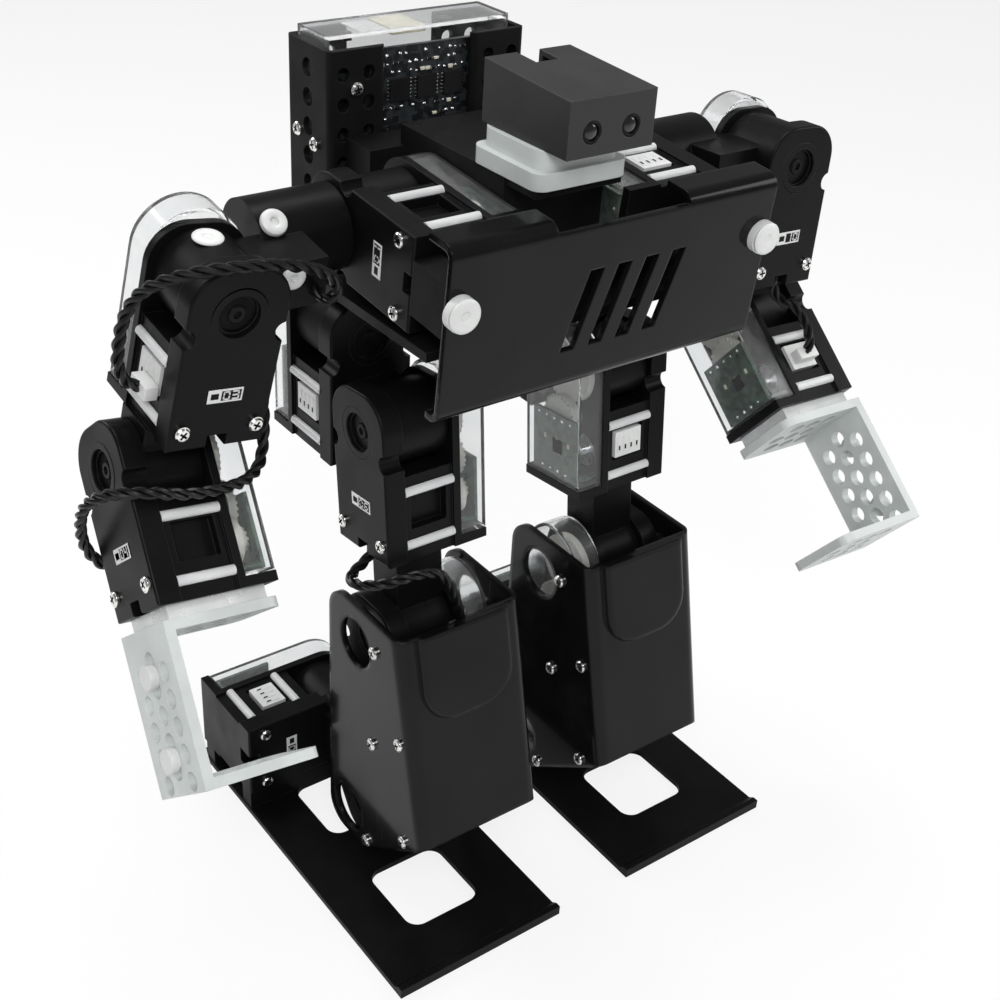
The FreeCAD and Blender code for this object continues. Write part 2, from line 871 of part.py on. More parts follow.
def head_case():
    """A hollow box with a sloping top, a notch at the back of it and two eye holes."""
    body = doc.addObject("PartDesign::Body", "head_body")
    profile = outline(
        body,
        "head_profile",
        "YZ_Plane",
        [
            ("head_front", "head_bottom"),
            ("head_back", "head_bottom"),
            ("head_back", "head_top + head_slope"),
            ("head_front", "head_top"),
        ],
    )
    pad(body, "head_pad", profile, "2 * head_half")
    inner = outline(
        body,
        "head_inside",
        "YZ_Plane",
        [
            ("head_front + head_wall", f"head_bottom - {PAST}"),
            ("head_back - head_wall", f"head_bottom - {PAST}"),
            ("head_back - head_wall", "head_top + head_slope - head_wall"),
            ("head_front + head_wall", "head_top - head_wall"),
        ],
    )
    pocket(body, "head_hollow", inner, "2 * (head_half - head_wall)")
    tools = [
        block(
            "head_notch",
            ("-head_notch_half", "head_notch_half"),
            ("head_back - head_notch_deep", f"head_back + {PAST}"),
            ("head_top - head_notch_drop", f"head_top + head_slope + {PAST}"),
        )
    ]
    for side in SIDES.values():
        tools.append(
            rod(
                "eye_hole",
                "y",
                "eye_radius + eye_gap",
                (f"head_front - {PAST}", f"head_front + head_wall + {PAST}"),
                (f"{side} * eye_across", "head_bottom + eye_rise"),
            )
        )
    return cut("head_shell", body, *tools)


def head_sensors():
    """The sensor board in the head with its two eyes."""
    back = "head_front + eye_length"
    eyes = [
        rod(
            "eye",
            "y",
            "eye_radius",
            ("head_front + eye_recess", back),
            (f"{side} * eye_across", "head_bottom + eye_rise"),
        )
        for side in SIDES.values()
    ]
    board = block(
        "eye_board",
        ("-head_half + head_wall", "head_half - head_wall"),
        (back, f"{back} + board_thick"),
        ("head_bottom", "head_bottom + 2 * eye_rise"),
    )
    return fuse("eye_unit", board, *eyes)


def plate(name, x, y, z, corner):
    """A flat plate with its upright corners rounded."""
    blank = block(name + "_blank", x, y, z)
    return rounded(name, blank, size(corner), lambda edge: near(edge, Z))


def head_riser():
    """Two stacked plates between the torso and the head."""
    middle = "core_top + riser_upper"
    return [
        plate(
            "riser_lower_plate",
            ("riser_right", "riser_left"),
            ("riser_front", "riser_back"),
            ("core_top", middle),
            "riser_corner",
        ),
        plate(
            "riser_upper_plate",
            ("riser_right + riser_step", "riser_left - riser_step"),
            ("riser_front + riser_step", "riser_back - riser_step"),
            (middle, "head_bottom"),
            "riser_corner",
        ),
    ]


node("head_case", level, head_case())
node("head_sensors", level, head_sensors())
node("head_riser", level, *head_riser())

# ---------------------------------------------------------------- Controller pack


def pack_plates():
    """Two perforated channels that clasp the controller at its sides."""
    channels = []
    for name, side in SIDES.items():
        solid = cut(
            f"{name}_pack_channel",
            plate(
                f"{name}_pack_outer",
                mirrored(side, "pack_half - pack_flange", "pack_half"),
                ("pack_front", "pack_back"),
                ("pack_bottom", "pack_plate_top"),
                "pack_wall",
            ),
            block(
                f"{name}_pack_inner",
                mirrored(side, f"pack_half - pack_flange - {PAST}", "pack_half - pack_wall"),
                ("pack_front + pack_wall", "pack_back - pack_wall"),
                (f"pack_bottom - {PAST}", f"pack_plate_top + {PAST}"),
            ),
        )
        holes = []
        for row in range(int(size("pack_hole_rows"))):
            height = f"pack_bottom + pack_hole_start + {row} * pack_hole_pitch"
            through = (f"pack_front - {PAST}", f"pack_back + {PAST}")
            for column in range(2):
                place = (f"{side} * (pack_half - pack_hole_inset - {column} * pack_hole_column)", height)
                holes.append(rod("pack_hole", "y", "pack_hole_radius", through, place))
            holes.append(
                rod(
                    "pack_side_hole",
                    "x",
                    "pack_side_hole_radius",
                    mirrored(side, f"pack_half - pack_wall - {PAST}", f"pack_half + {PAST}"),
                    ("(pack_front + pack_back) / 2", height),
                )
            )
        channels.append(cut(f"{name}_pack_plate", solid, *holes))
    return channels


PACK_INNER_HALF = "(pack_half - pack_wall - pack_gap)"
PACK_BOARD_FACE = "pack_front + pack_wall + pack_gap + pack_board_room"


def pack_board():
    """The controller's circuit board with its larger chips."""
    face = PACK_BOARD_FACE
    board = block(
        "pack_board_plate",
        (f"-{PACK_INNER_HALF}", PACK_INNER_HALF),
        (face, f"{face} + pack_board"),
        ("pack_bottom + pack_board_inset", "pack_plate_top - pack_board_inset"),
    )
    chips = []
    for column in range(3):
        across = f"chip_column + {column} * chip_column_pitch"
        for row in range(3):
            rise = f"pack_bottom + chip_row + {row} * chip_row_pitch"
            chips.append(
                block(
                    "chip",
                    (f"{across} - chip_half", f"{across} + chip_half"),
                    (f"{face} - chip_thick", face),
                    (f"{rise} - chip_half", f"{rise} + chip_half"),
                )
            )
    return fuse("controller_circuit", board, *chips)


def pack_case():
    """The clear controller housing behind the board, hollow, with a closed top."""
    half = PACK_INNER_HALF
    front = f"{PACK_BOARD_FACE} + pack_board + pack_gap"
    back = "pack_back - pack_wall - pack_gap"
    floor = "pack_bottom + pack_floor_gap"
    outer = plate("pack_case_outer", (f"-{half}", half), (front, back), (floor, "pack_top"), "clear_edge")
    inner = block(
        "pack_case_inner",
        (f"-({half} - clear_wall)", f"{half} - clear_wall"),
        (f"{front} - {PAST}", f"{back} - clear_wall"),
        (f"{floor} + clear_wall", "pack_top - clear_wall"),
    )
    return cut("pack_housing", outer, inner)


node("controller_plates", level, *pack_plates())
node("controller_board", level, pack_board())
node("controller_case", level, pack_case())

# ---------------------------------------------------------------- Arms


HAND_TOP = "-tail_drop - hand_spacer"


def hand():
    """A perforated C-shaped bracket: top flange, web on the cover side and lower flange."""
    body = doc.addObject("PartDesign::Body", "hand_body")
    top = HAND_TOP
    bottom = f"{HAND_TOP} - hand_height"
    section = outline(
        body,
        "hand_section",
        "YZ_Plane",
        [
            ("0", top),
            ("hand_reach", top),
            ("hand_reach", f"{top} - hand_wall"),
            ("hand_wall", f"{top} - hand_wall"),
            ("hand_wall", f"{bottom} + hand_wall"),
            ("hand_reach", f"{bottom} + hand_wall"),
            ("hand_reach", bottom),
            ("0", bottom),
        ],
    )
    pad(body, "hand_pad", section, "servo_width")
    doc.recompute()
    reach = size("hand_reach")
    edges = [
        f"Edge{number}"
        for number, edge in enumerate(doc.hand_pad.Shape.Edges, 1)
        if near(edge, Z, y=reach)
    ]
    corners = body.newObject("PartDesign::Fillet", "hand_corners")
    corners.Base = (doc.hand_pad, edges)
    corners.Radius = size("hand_corner")
    web = (f"-{PAST}", f"hand_wall + {PAST}")
    through = (f"{bottom} - {PAST}", f"{top} + {PAST}")
    holes = []
    for column in (-1, 0, 1):
        across = f"{column} * hand_hole_pitch"
        for row in range(1, 6):
            drop = f"{top} - ({row} + {abs(column) / 2}) * hand_hole_pitch - hand_wall / 2"
            holes.append(rod("web_hole", "y", "hand_hole_radius", web, (across, drop)))
        for row in range(1, 4):
            depth = f"({row} + {1 - abs(column) / 2}) * hand_hole_pitch"
            holes.append(rod("flange_hole", "z", "hand_hole_radius", through, (across, depth)))
    return cut("hand_bracket", body, *holes)


def hand_rivets():
    """Two push rivets in the web of a hand."""
    pieces = []
    for drop in ("hand_rivet_upper", "hand_rivet_lower"):
        place = ("0", f"{HAND_TOP} - {drop}")
        pieces.append(rod("hand_rivet", "y", "hand_rivet_radius", ("-rivet_head", "0"), place))
    return pieces


def hand_spacer():
    """The plate between a forearm's tail and the hand's top flange."""
    across = ("-hand_spacer_half", "hand_spacer_half")
    depth = ("hand_wall", "hand_reach - hand_wall")
    return block("hand_spacer_plate", across, depth, (HAND_TOP, "-tail_drop"))


def arm_wheel_place(side):
    """Where the wheel that carries an arm sits on its shoulder block."""
    return Placement(Vector(side * size("arm_axis"), -size("arm_forward") - middle_depth, 0), Rotation())


def shoulder_block(name, side):
    """Output wheel of the shoulder module, barrel, flange and the wheel that carries the arm."""
    arm_span = (f"-arm_forward - {WHEEL_HALF}", f"-arm_forward + {WHEEL_HALF}")
    outer = "shoulder_cover + barrel_gap"
    shaft = mirrored(side, "shoulder_cover - cover_depth", outer)
    flange = mirrored(side, "barrel_end - flange_width", "barrel_end")
    arm_neck = mirrored(side, "barrel_end - flange_width", "arm_axis")
    pitch_wheel = Placement(Vector(side * size("shoulder_cover"), 0, 0), Rotation()) * outward(side)
    arm_wheel = arm_wheel_place(side)
    return fuse(
        f"{name}_shoulder_body",
        copy_of(wheel_master, pitch_wheel, f"{name}_shoulder_wheel"),
        rod(f"{name}_shoulder_shaft", "x", "stub_radius", shaft, ("0", "0")),
        rod(f"{name}_barrel", "x", "barrel_radius", mirrored(side, outer, "barrel_end"), ("0", "0")),
        block(f"{name}_flange", flange, (arm_span[0], "0"), ("-neck_half", "neck_half")),
        block(f"{name}_arm_neck", arm_neck, arm_span, ("-neck_half", "neck_half")),
        copy_of(wheel_master, arm_wheel, f"{name}_arm_wheel"),
    )


hand_master = hand()
fittings_master = doc.addObject("Part::Compound", "hand_fittings")
fittings_master.Links = hand_rivets() + [hand_spacer()]
joints = {}
modules = {}

for name, side in SIDES.items():
    pitch_at = torso * Vector(0, size("shoulder_back"), size("shoulder_rise"))
    shoulder = Placement(pitch_at, Rotation(X, size(f"{name}_shoulder_pitch")))
    arm_wheel_at = arm_wheel_place(side)
    shoulder_gears = [
        copy_of(
            gear_master,
            Placement(Vector(side * size("shoulder_cover"), 0, 0), Rotation()) * outward(side),
            f"{name}_shoulder_gear",
        ),
        copy_of(gear_master, arm_wheel_at, f"{name}_arm_gear"),
    ]
    node(f"{name}_shoulder_block", shoulder, shoulder_block(name, side), *shoulder_gears)
    upper_arm = shoulder * arm_wheel_at * Placement(Vector(), Rotation(Y, -side * size(f"{name}_arm_lean")))
    elbow = Vector(
        side * (size("servo_depth") / 2 + size("elbow_offset")), size("servo_depth") / 2, -size("elbow_drop")
    )
    servo_nodes(
        (f"{name}_upper_arm_case", f"{name}_upper_arm_rear_case", f"{name}_upper_arm_drive"),
        upper_arm,
        [copy_of(elbow_master, Placement(elbow, Rotation()) * outward(side), f"{name}_elbow_block")],
        [copy_of(gear_master, Placement(elbow, Rotation()) * outward(side), f"{name}_elbow_gear")],
    )
    flex = Rotation(X, -size(f"{name}_elbow_flex"))
    forearm = upper_arm * Placement(elbow, flex) * outward(side)
    servo_nodes(
        (f"{name}_forearm_case", f"{name}_forearm_rear_case", f"{name}_forearm_drive"),
        forearm,
    )
    node(
        f"{name}_hand",
        forearm,
        copy_of(hand_master, Placement(), f"{name}_hand_bracket"),
        copy_of(fittings_master, Placement(), f"{name}_hand_fittings"),
    )
    modules[f"{name}_upper_arm"] = upper_arm
    modules[f"{name}_forearm"] = forearm
    joints[f"{name}_shoulder_pitch"] = (pitch_at + side * size("shoulder_cover") * X, X)
    joints[f"{name}_shoulder_roll"] = (upper_arm.Base, upper_arm.Rotation * Y)
    joints[f"{name}_elbow"] = (upper_arm * elbow, upper_arm.Rotation * X)

# ---------------------------------------------------------------- Legs


def shin_shell():
    """The glossy shin cover: open behind and below, with rings round the knee and ankle shafts."""
    body = doc.addObject("PartDesign::Body", "shell_body")
    profile = outline(
        body,
        "shell_profile",
        "YZ_Plane",
        [
            ("shell_back", "shell_top"),
            ("shell_brow", "shell_top"),
            ("shell_toe", "shell_toe_rise"),
            ("shell_heel", "shell_heel_rise"),
            ("shell_back", "shell_heel_rise"),
        ],
    )
    pad(body, "shell_pad", profile, "2 * shell_half")
    doc.recompute()
    brow, toe = size("shell_brow"), size("shell_toe")
    top, low = size("shell_top"), size("shell_toe_rise")
    slope = Vector(0, toe - brow, low - top).normalize()
    base = doc.shell_pad
    for name, radius, wanted in (
        ("shell_front_rounds", "shell_corner", lambda edge: near(edge, slope, y=(brow + toe) / 2)),
        ("shell_back_rounds", "shell_round", lambda edge: near(edge, X, y=size("shell_back"))),
    ):
        edges = [f"Edge{number}" for number, edge in enumerate(base.Shape.Edges, 1) if wanted(edge)]
        rounds = body.newObject("PartDesign::Fillet", name)
        rounds.Base = (base, edges)
        rounds.Radius = size(radius)
        doc.recompute()
        base = rounds
    inside = outline(
        body,
        "shell_inside",
        "YZ_Plane",
        [
            (f"shell_back + {PAST}", f"shell_top + {PAST}"),
            ("shell_brow + shell_wall", f"shell_top + {PAST}"),
            ("shell_toe + shell_wall", "shell_toe_rise"),
            ("shell_toe + shell_wall", f"shell_heel_rise - {PAST}"),
            (f"shell_back + {PAST}", f"shell_heel_rise - {PAST}"),
        ],
    )
    pocket(body, "shell_hollow", inside, "2 * (shell_half - shell_wall)")
    span = (f"-shell_half - {PAST}", f"shell_half + {PAST}")
    holes = [
        rod("knee_ring", "x", "ring_radius", span, ("0", "0")),
        rod("ankle_ring", "x", "ring_radius", span, ("ankle_back", "-ankle_drop")),
        rod("bar_bore", "x", "screw_radius", span, SHELL_BAR_AT),
    ]
    inner_half = "shell_half - shell_wall"
    bosses = [rod("shell_bar", "x", "boss_radius", (f"-({inner_half})", inner_half), SHELL_BAR_AT)]
    for side in SIDES.values():
        for at in boss_places():
            bosses.append(rod("shell_boss", "x", "boss_radius", mirrored(side, MODULE_FACE, inner_half), at))
            holes.append(rod("boss_bore", "x", "screw_radius", mirrored(side, MODULE_FACE, span[1]), at))
        for at in cup_places():
            bosses.append(rod("shell_cup", "x", "cup_radius", mirrored(side, MODULE_FACE, inner_half), at))
            hollow = "screw_head_radius + cup_gap"
            holes.append(rod("cup_hollow", "x", hollow, mirrored(side, MODULE_FACE, CUP_FLOOR), at))
            holes.append(rod("cup_bore", "x", "screw_radius", mirrored(side, MODULE_FACE, span[1]), at))
    return cut("shin_cover", fuse("shell_with_bosses", body, knee_pad(), *bosses), *holes)


MODULE_FACE = "servo_depth / 2"
CUP_FLOOR = "servo_depth / 2 + screw_head + cup_gap"
SHELL_BAR_AT = ("shell_bar_front", "-shell_bar_drop")


def boss_places():
    """Where bosses inside the shin cover seat on its modules, from the knee shaft."""
    return [
        ("-servo_width / 2 + brow_screw_inset", "brow_screw_rise"),
        ("ankle_back - heel_screw_front", "-ankle_drop - heel_screw_drop"),
    ]


def cup_places():
    """Where hollow bosses fit over the front cover screw of the knee module and of the ankle module."""
    knee = ("-screw_across", "-screw_drop")
    tilt = Rotation(X, -size("ankle_servo_tilt"))
    reach = tilt * Vector(0, size("screw_across"), -size("screw_drop"))
    return [knee, (f"ankle_back + ({reach.y})", f"-ankle_drop + ({reach.z})")]


def knee_pad():
    """The raised panel on the front of the shin cover, along its slope, with its lower corners round."""
    blank = block(
        "knee_pad_blank",
        ("-knee_pad_half", "knee_pad_half"),
        ("-knee_pad_rise", "shell_wall / 2"),
        ("-knee_pad_length", "0"),
    )
    low, half = -size("knee_pad_length"), size("knee_pad_half")
    corner, edge_round = size("knee_pad_corner"), size("knee_pad_edge")
    shaped = rounded("knee_pad_shape", blank, corner, lambda edge: near(edge, Y, z=low))
    front = -size("knee_pad_rise") + PLACE_ERROR
    panel = rounded(
        "knee_pad",
        shaped,
        edge_round,
        lambda edge: edge.BoundBox.YMax < front and not near(edge, X, z=0),
    )
    tilt = math.degrees(
        math.atan2(size("shell_brow") - size("shell_toe"), size("shell_top") - size("shell_toe_rise"))
    )
    panel.Placement = Placement(Vector(0, size("shell_brow"), size("shell_top")), Rotation(X, -tilt))
    return panel


def shell_screw_heads():
    """Screws that hold the shin cover, on both sides."""
    starts = [(MODULE_FACE, at) for at in boss_places()]
    starts += [(CUP_FLOOR, at) for at in cup_places()]
    starts += [("shell_half - shell_wall - screw_length", SHELL_BAR_AT)]
    pieces = []
    for start, at in starts:
        for side in SIDES.values():
            head = mirrored(side, "shell_half", "shell_half + screw_head")
            pieces.append(
                fuse(
                    "shell_screw",
                    rod("shell_screw_shank", "x", "screw_radius", mirrored(side, start, "shell_half"), at),
                    rod("shell_screw_head", "x", "screw_head_radius", head, at),
                )
            )
    return pieces


def ankle_block(name, side):
    """Ankle-pitch wheel, the link round the roll module's cover, and its roll wheel."""
    bar = mirrored(side, f"({HIP_X}) - {WHEEL_HALF}", f"({HIP_X}) + {WHEEL_HALF}")
    link_end = "roll_cover - ankle_link_gap"
    outer_of_arm = "roll_axis - crown_rise - ankle_link_gap"
    height = ("-ankle_link_half", "ankle_link_half")
    pitch_wheel = Placement(Vector(side * hip_x, 0, 0), Rotation()) * outward(side)
    roll_wheel = Placement(Vector(side * size("roll_axis"), size("roll_cover"), 0), Rotation())
    return fuse(
        f"{name}_ankle_body",
        copy_of(wheel_master, pitch_wheel, f"{name}_ankle_pitch_wheel"),
        block(f"{name}_ankle_bar", bar, ("0", link_end), height),
        block(
            f"{name}_ankle_yoke",
            mirrored(side, f"{outer_of_arm} - ankle_link", f"({HIP_X}) + {WHEEL_HALF}"),
            (f"{link_end} - ankle_link", link_end),
            height,
        ),
        block(
            f"{name}_ankle_arm",
            mirrored(side, f"{outer_of_arm} - ankle_link", outer_of_arm),
            (f"{link_end} - ankle_link", f"roll_cover + {WHEEL[1]}"),
            height,
        ),
        block(
            f"{name}_roll_neck",
            mirrored(side, f"{outer_of_arm} - ankle_link", "roll_axis"),
            (f"roll_cover + {WHEEL[0]}", f"roll_cover + {WHEEL[1]}"),
            ("-neck_half", "neck_half"),
        ),
        copy_of(wheel_master, roll_wheel, f"{name}_roll_wheel"),
    )


def foot_plate(name, side):
    """Flat foot with two windows, an upturned front lip and pedestals under its roll module."""
    body = doc.addObject("PartDesign::Body", f"{name}_foot_body")
    profile = outline(
        body,
        f"{name}_foot_profile",
        "YZ_Plane",
        [
            ("foot_front", "0"),
            ("foot_back", "0"),
            ("foot_back", "foot_thick"),
            ("foot_front + foot_thick + foot_lip_slope", "foot_thick"),
            ("foot_front + foot_thick", "foot_lip"),
            ("foot_front", "foot_lip"),
        ],
    )
    pad(body, f"{name}_foot_pad", profile, "foot_outer - foot_inner")
    body.setExpression("Placement.Base.x", formula(f"{side} * (foot_inner + foot_outer) / 2"))
    doc.recompute()
    windows = [
        plate(
            f"{name}_window_{number}",
            mirrored(side, "window_inner", "window_outer"),
            (start, f"{start} + window_length"),
            (f"-{PAST}", f"foot_thick + {PAST}"),
            "window_corner",
        )
        for number, start in enumerate(("window_front", "window_front + window_pitch"))
    ]
    sheet_with_windows = cut(f"{name}_foot_sheet", body, *windows)
    top = "ankle_height - servo_width / 2"
    pedestals = [
        block(
            f"{name}_pedestal",
            mirrored(side, "roll_axis", "foot_outer - pedestal_edge"),
            (start, f"{start} + pedestal_width"),
            ("foot_thick", top),
        )
        for start in (
            "roll_cover + cover_depth - pedestal_gap - pedestal_width",
            f"roll_cover + ({CASE_BACK} + servo_depth - tail_step) / 2 - pedestal_width / 2",
        )
    ]
    return fuse(f"{name}_foot_sole", sheet_with_windows, *pedestals)


shell_master = shin_shell()
heads_master = doc.addObject("Part::Compound", "shell_screw_set")
heads_master.Links = shell_screw_heads()

for name, side in SIDES.items():
    hip = Placement(Vector(side * (hip_x - middle_depth), size("hip_cover"), hip_roll_at.z), Rotation())
    reach = Vector(side * middle_depth, size("hip_pitch_back") - size("hip_cover"), -size("hip_pitch_drop"))
    pitch_wheel_at = Placement(reach, Rotation()) * outward(side)
    hip_block = fuse(
        f"{name}_hip_block",
        copy_of(wheel_master, pitch_wheel_at, f"{name}_hip_pitch_wheel"),
        block(
            f"{name}_hip_bar",
            (f"-{WHEEL_HALF}", WHEEL_HALF),
            ("hip_pitch_back - hip_cover", "0"),
            ("-hip_pitch_drop - neck_half", "-hip_pitch_drop + neck_half"),
        ),
    )
    node(f"{name}_hip_case", hip, copy_of(case_master, Placement(), f"{name}_hip_case_copy"), hip_block)
    node(
        f"{name}_hip_gearbox",
        hip,
        copy_of(rear_master, Placement(), f"{name}_hip_rear_case"),
        copy_of(drive_master, Placement(), f"{name}_hip_drive"),
        copy_of(gear_master, pitch_wheel_at, f"{name}_hip_pitch_gear"),
    )
    thigh = hip * Placement(reach, thigh_turn)
    knee_block_at = Placement(Vector(0, 0, -size("knee_drop")), Rotation())
    servo_nodes(
        (f"{name}_thigh_case", f"{name}_thigh_rear_case", f"{name}_thigh_drive"),
        thigh * outward(side),
        [copy_of(knee_master, knee_block_at, f"{name}_knee_block")],
        [copy_of(gear_master, knee_block_at, f"{name}_knee_gear")],
    )
    shin = thigh * knee_block_at * Placement(Vector(), thigh_turn.inverted())
    ankle_offset = Vector(0, size("ankle_back"), -size("ankle_drop"))
    ankle_servo = Placement(ankle_offset, Rotation(X, -size("ankle_servo_tilt"))) * outward(side)
    middle_of_leg = Placement(Vector(-side * size("servo_depth") / 2, 0, 0), Rotation())
    node(f"{name}_shin_shell", shin * middle_of_leg, copy_of(shell_master, Placement(), f"{name}_shell_copy"))
    for kind, master in (("cases", case_master), ("rear_cases", rear_master), ("drives", drive_master)):
        extra = [copy_of(heads_master, middle_of_leg, f"{name}_shell_screws")] if kind == "drives" else []
        node(
            f"{name}_shin_servo_{kind}",
            shin,
            copy_of(master, outward(side), f"{name}_knee_{kind}"),
            copy_of(master, ankle_servo, f"{name}_ankle_{kind}"),
            *extra,
        )
    ankle = Placement(Vector(0, ankle_at.y, ankle_at.z), Rotation())
    ankle_wheel_at = Placement(Vector(side * hip_x, 0, 0), Rotation()) * outward(side)
    roll_at = Placement(Vector(side * size("roll_axis"), size("roll_cover"), 0), Rotation())
    node(
        f"{name}_ankle_block",
        ankle,
        ankle_block(name, side),
        copy_of(gear_master, ankle_wheel_at, f"{name}_ankle_pitch_gear"),
        copy_of(gear_master, roll_at, f"{name}_roll_gear"),
    )
    foot_servo = ankle * roll_at * Placement(Vector(), Rotation(Y, -90 * side))
    servo_nodes(
        (f"{name}_foot_servo_case", f"{name}_foot_servo_rear_case", f"{name}_foot_servo_drive"),
        foot_servo,
    )
    node(f"{name}_foot_plate", Placement(Vector(0, ankle_at.y, 0), Rotation()), foot_plate(name, side))
    modules[f"{name}_thigh"] = thigh * outward(side)
    modules[f"{name}_knee"] = shin * outward(side)
    joints[f"{name}_hip_roll"] = (hip.Base, Y)
    joints[f"{name}_hip_pitch"] = (thigh.Base, X)
    joints[f"{name}_knee"] = (shin.Base, X)
    joints[f"{name}_ankle_pitch"] = (shin * ankle_offset, X)
    joints[f"{name}_ankle_roll"] = (foot_servo.Base, Y)

# ---------------------------------------------------------------- Leads

# Each lead is a twisted bundle from one module to the next. Its route lists points in the frames of
# the modules that it passes, chosen by hand.
LEADS = {
    "right_shoulder_lead": [
        ("right_upper_arm", (26, 7.3, 2)),
        ("right_upper_arm", (26, 1.5, 2)),
        ("right_upper_arm", (26.5, -2.5, 6)),
        ("right_upper_arm", (23, -4.5, 12.5)),
        ("right_upper_arm", (13, -5.2, 17)),
        ("right_upper_arm", (1, -5, 17.8)),
        ("right_upper_arm", (-10.5, -3.5, 16.8)),
        ("right_upper_arm", (-19, 1.5, 12.5)),
        ("right_upper_arm", (-24, 9, 5)),
        ("right_upper_arm", (-25.5, 13, -4.5)),
        ("right_upper_arm", (-25.3, 13.8, -14.5)),
        ("right_upper_arm", (-24.6, 13.6, -20.5)),
        ("right_upper_arm", (-22, 13.5, -25)),
        ("right_upper_arm", (-18, 13.5, -27)),
        ("right_upper_arm", (-14, 13.5, -27)),
    ],
    "right_elbow_lead": [
        ("right_upper_arm", (10.3, 15.75, -24.5)),
        ("right_upper_arm", (14.5, 15.75, -24.5)),
        ("right_upper_arm", (18.2, 14, -28)),
        ("right_upper_arm", (19.5, 11, -33.5)),
        ("right_upper_arm", (19.8, 8.5, -40)),
        ("right_upper_arm", (20.3, 7.3, -47)),
        ("right_upper_arm", (18, 3.3, -51.5)),
        ("right_upper_arm", (11.5, -1.5, -52.3)),
        ("right_forearm", (20.5, 25, -13.8)),
        ("right_forearm", (20.8, 14, -14)),
        ("right_forearm", (19.5, 3, -11.5)),
        ("right_forearm", (12, -5.5, -8.5)),
        ("right_forearm", (1, -7.5, -8.5)),
        ("right_forearm", (-9, -6, -12)),
        ("right_forearm", (-16.8, -3, -18)),
        ("right_forearm", (-20, 2.5, -23.3)),
        ("right_forearm", (-20.4, 8, -25.3)),
        ("right_forearm", (-19.8, 12.8, -25.6)),
        ("right_forearm", (-17.4, 15.75, -25.5)),
        ("right_forearm", (-14, 15.75, -25.5)),
    ],
    "left_elbow_lead": [
        ("left_upper_arm", (0, 3.5, -36.5)),
        ("left_upper_arm", (0, 3.5, -42)),
        ("left_upper_arm", (1.5, -0.5, -46.5)),
        ("left_forearm", (-24.2, 18.5, -9)),
        ("left_forearm", (-23.6, 16.3, -15.5)),
        ("left_forearm", (-21.8, 15.75, -21.3)),
        ("left_forearm", (-18, 15.75, -25)),
        ("left_forearm", (-14, 15.75, -25)),
    ],
    "right_knee_lead": [
        ("right_thigh", (0, 3.5, -36.5)),
        ("right_thigh", (0, 3.5, -40)),
        ("right_thigh", (0, 1.5, -43.3)),
        ("right_thigh", (0.7, -3, -45)),
        ("right_thigh", (5, -8.8, -45)),
        ("right_thigh", (12.5, -9.5, -43.8)),
        ("right_thigh", (19, -3, -42.3)),
        ("right_thigh", (20.8, 7, -41)),
        ("right_thigh", (20.8, 16.5, -44.5)),
        ("right_knee", (19.3, 22, 13.5)),
        ("right_knee", (19.5, 22, 2.5)),
        ("right_knee", (19.3, 19, -8)),
        ("right_knee", (18.5, 16.5, -17)),
        ("right_knee", (18.2, 15.9, -21.5)),
        ("right_knee", (14.6, 15.75, -25)),
        ("right_knee", (10.3, 15.75, -25)),
    ],
}
BEND_SHARE = 0.45  # how much of its shorter run an arc takes


def lead_path(points):
    """Straight runs joined by tangent arcs, each as large as its two runs allow, and their radii."""
    edges = []
    radii = []
    start = points[0]
    for before, corner, after in zip(points, points[1:], points[2:]):
        arriving = (corner - before).normalize()
        leaving = (after - corner).normalize()
        half_turn = arriving.getAngle(leaving) / 2
        reach = BEND_SHARE * min(corner.distanceToPoint(before), corner.distanceToPoint(after))
        radius = reach / math.tan(half_turn)
        arc_start = corner - arriving * reach
        arc_end = corner + leaving * reach
        inward = (leaving - arriving).normalize()
        arc_middle = corner + inward * (radius / math.cos(half_turn) - radius)
        edges.append(Part.LineSegment(start, arc_start).toShape())
        edges.append(Part.Arc(arc_start, arc_middle, arc_end).toShape())
        radii.append(radius)
        start = arc_end
    edges.append(Part.LineSegment(start, points[-1]).toShape())
    return Part.Wire(edges), radii


def lead(label, points):
    """The plain round tube of a lead along its path."""
    path, radii = lead_path(points)
    section = Part.Wire([Part.Circle(points[0], points[1] - points[0], size("lead_radius")).toShape()])
    tube = path.makePipeShell([section], True, False)
    fill = tube.Volume / (math.pi * size("lead_radius") ** 2 * path.Length)
    feature = doc.addObject("Part::Feature", label)
    feature.Label = label
    feature.Shape = tube
    nodes.append(feature)
    print(f"{label}: length {path.Length:.1f}, volume / (section x length) {fill:.4f}")
    print(f"{label}: radii " + " ".join(f"{radius:.1f}" for radius in radii))


for label, route in LEADS.items():
    lead(label, [modules[module] * Vector(*place) for module, place in route])

# ---------------------------------------------------------------- Check and write

doc.recompute()
box = FreeCAD.BoundBox()
for group in nodes:
    box.add(group.Shape.BoundBox)
shift = Vector(-box.Center.x, -box.Center.y, -box.ZMin)
for group in nodes:
    group.Placement.Base += shift
doc.recompute()

for item in doc.Objects:
    if "Invalid" in item.State or "Error" in item.State:
        raise RuntimeError(f"{item.Label} failed")
for group in nodes:
    if group.Shape.isNull() or not group.Shape.isValid():
        raise RuntimeError(f"{group.Label} has no valid shape")

os.makedirs("parts", exist_ok=True)
for group in nodes:
    group.Shape.exportStep(f"parts/{group.Label}.step")
print(f"{len(nodes)} nodes, size {box.XLength:.1f} x {box.YLength:.1f} x {box.ZLength:.1f}, shift {shift}")
for name, (place, direction) in joints.items():
    at = place + shift
    axis = f"{direction.x:.4f} {direction.y:.4f} {direction.z:.4f}"
    print(f"{name}: {at.x:.3f} {at.y:.3f} {at.z:.3f} axis {axis}")
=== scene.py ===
import json
import math
import random

import bmesh
import bpy
import numpy as np
from mathutils import Matrix, Vector

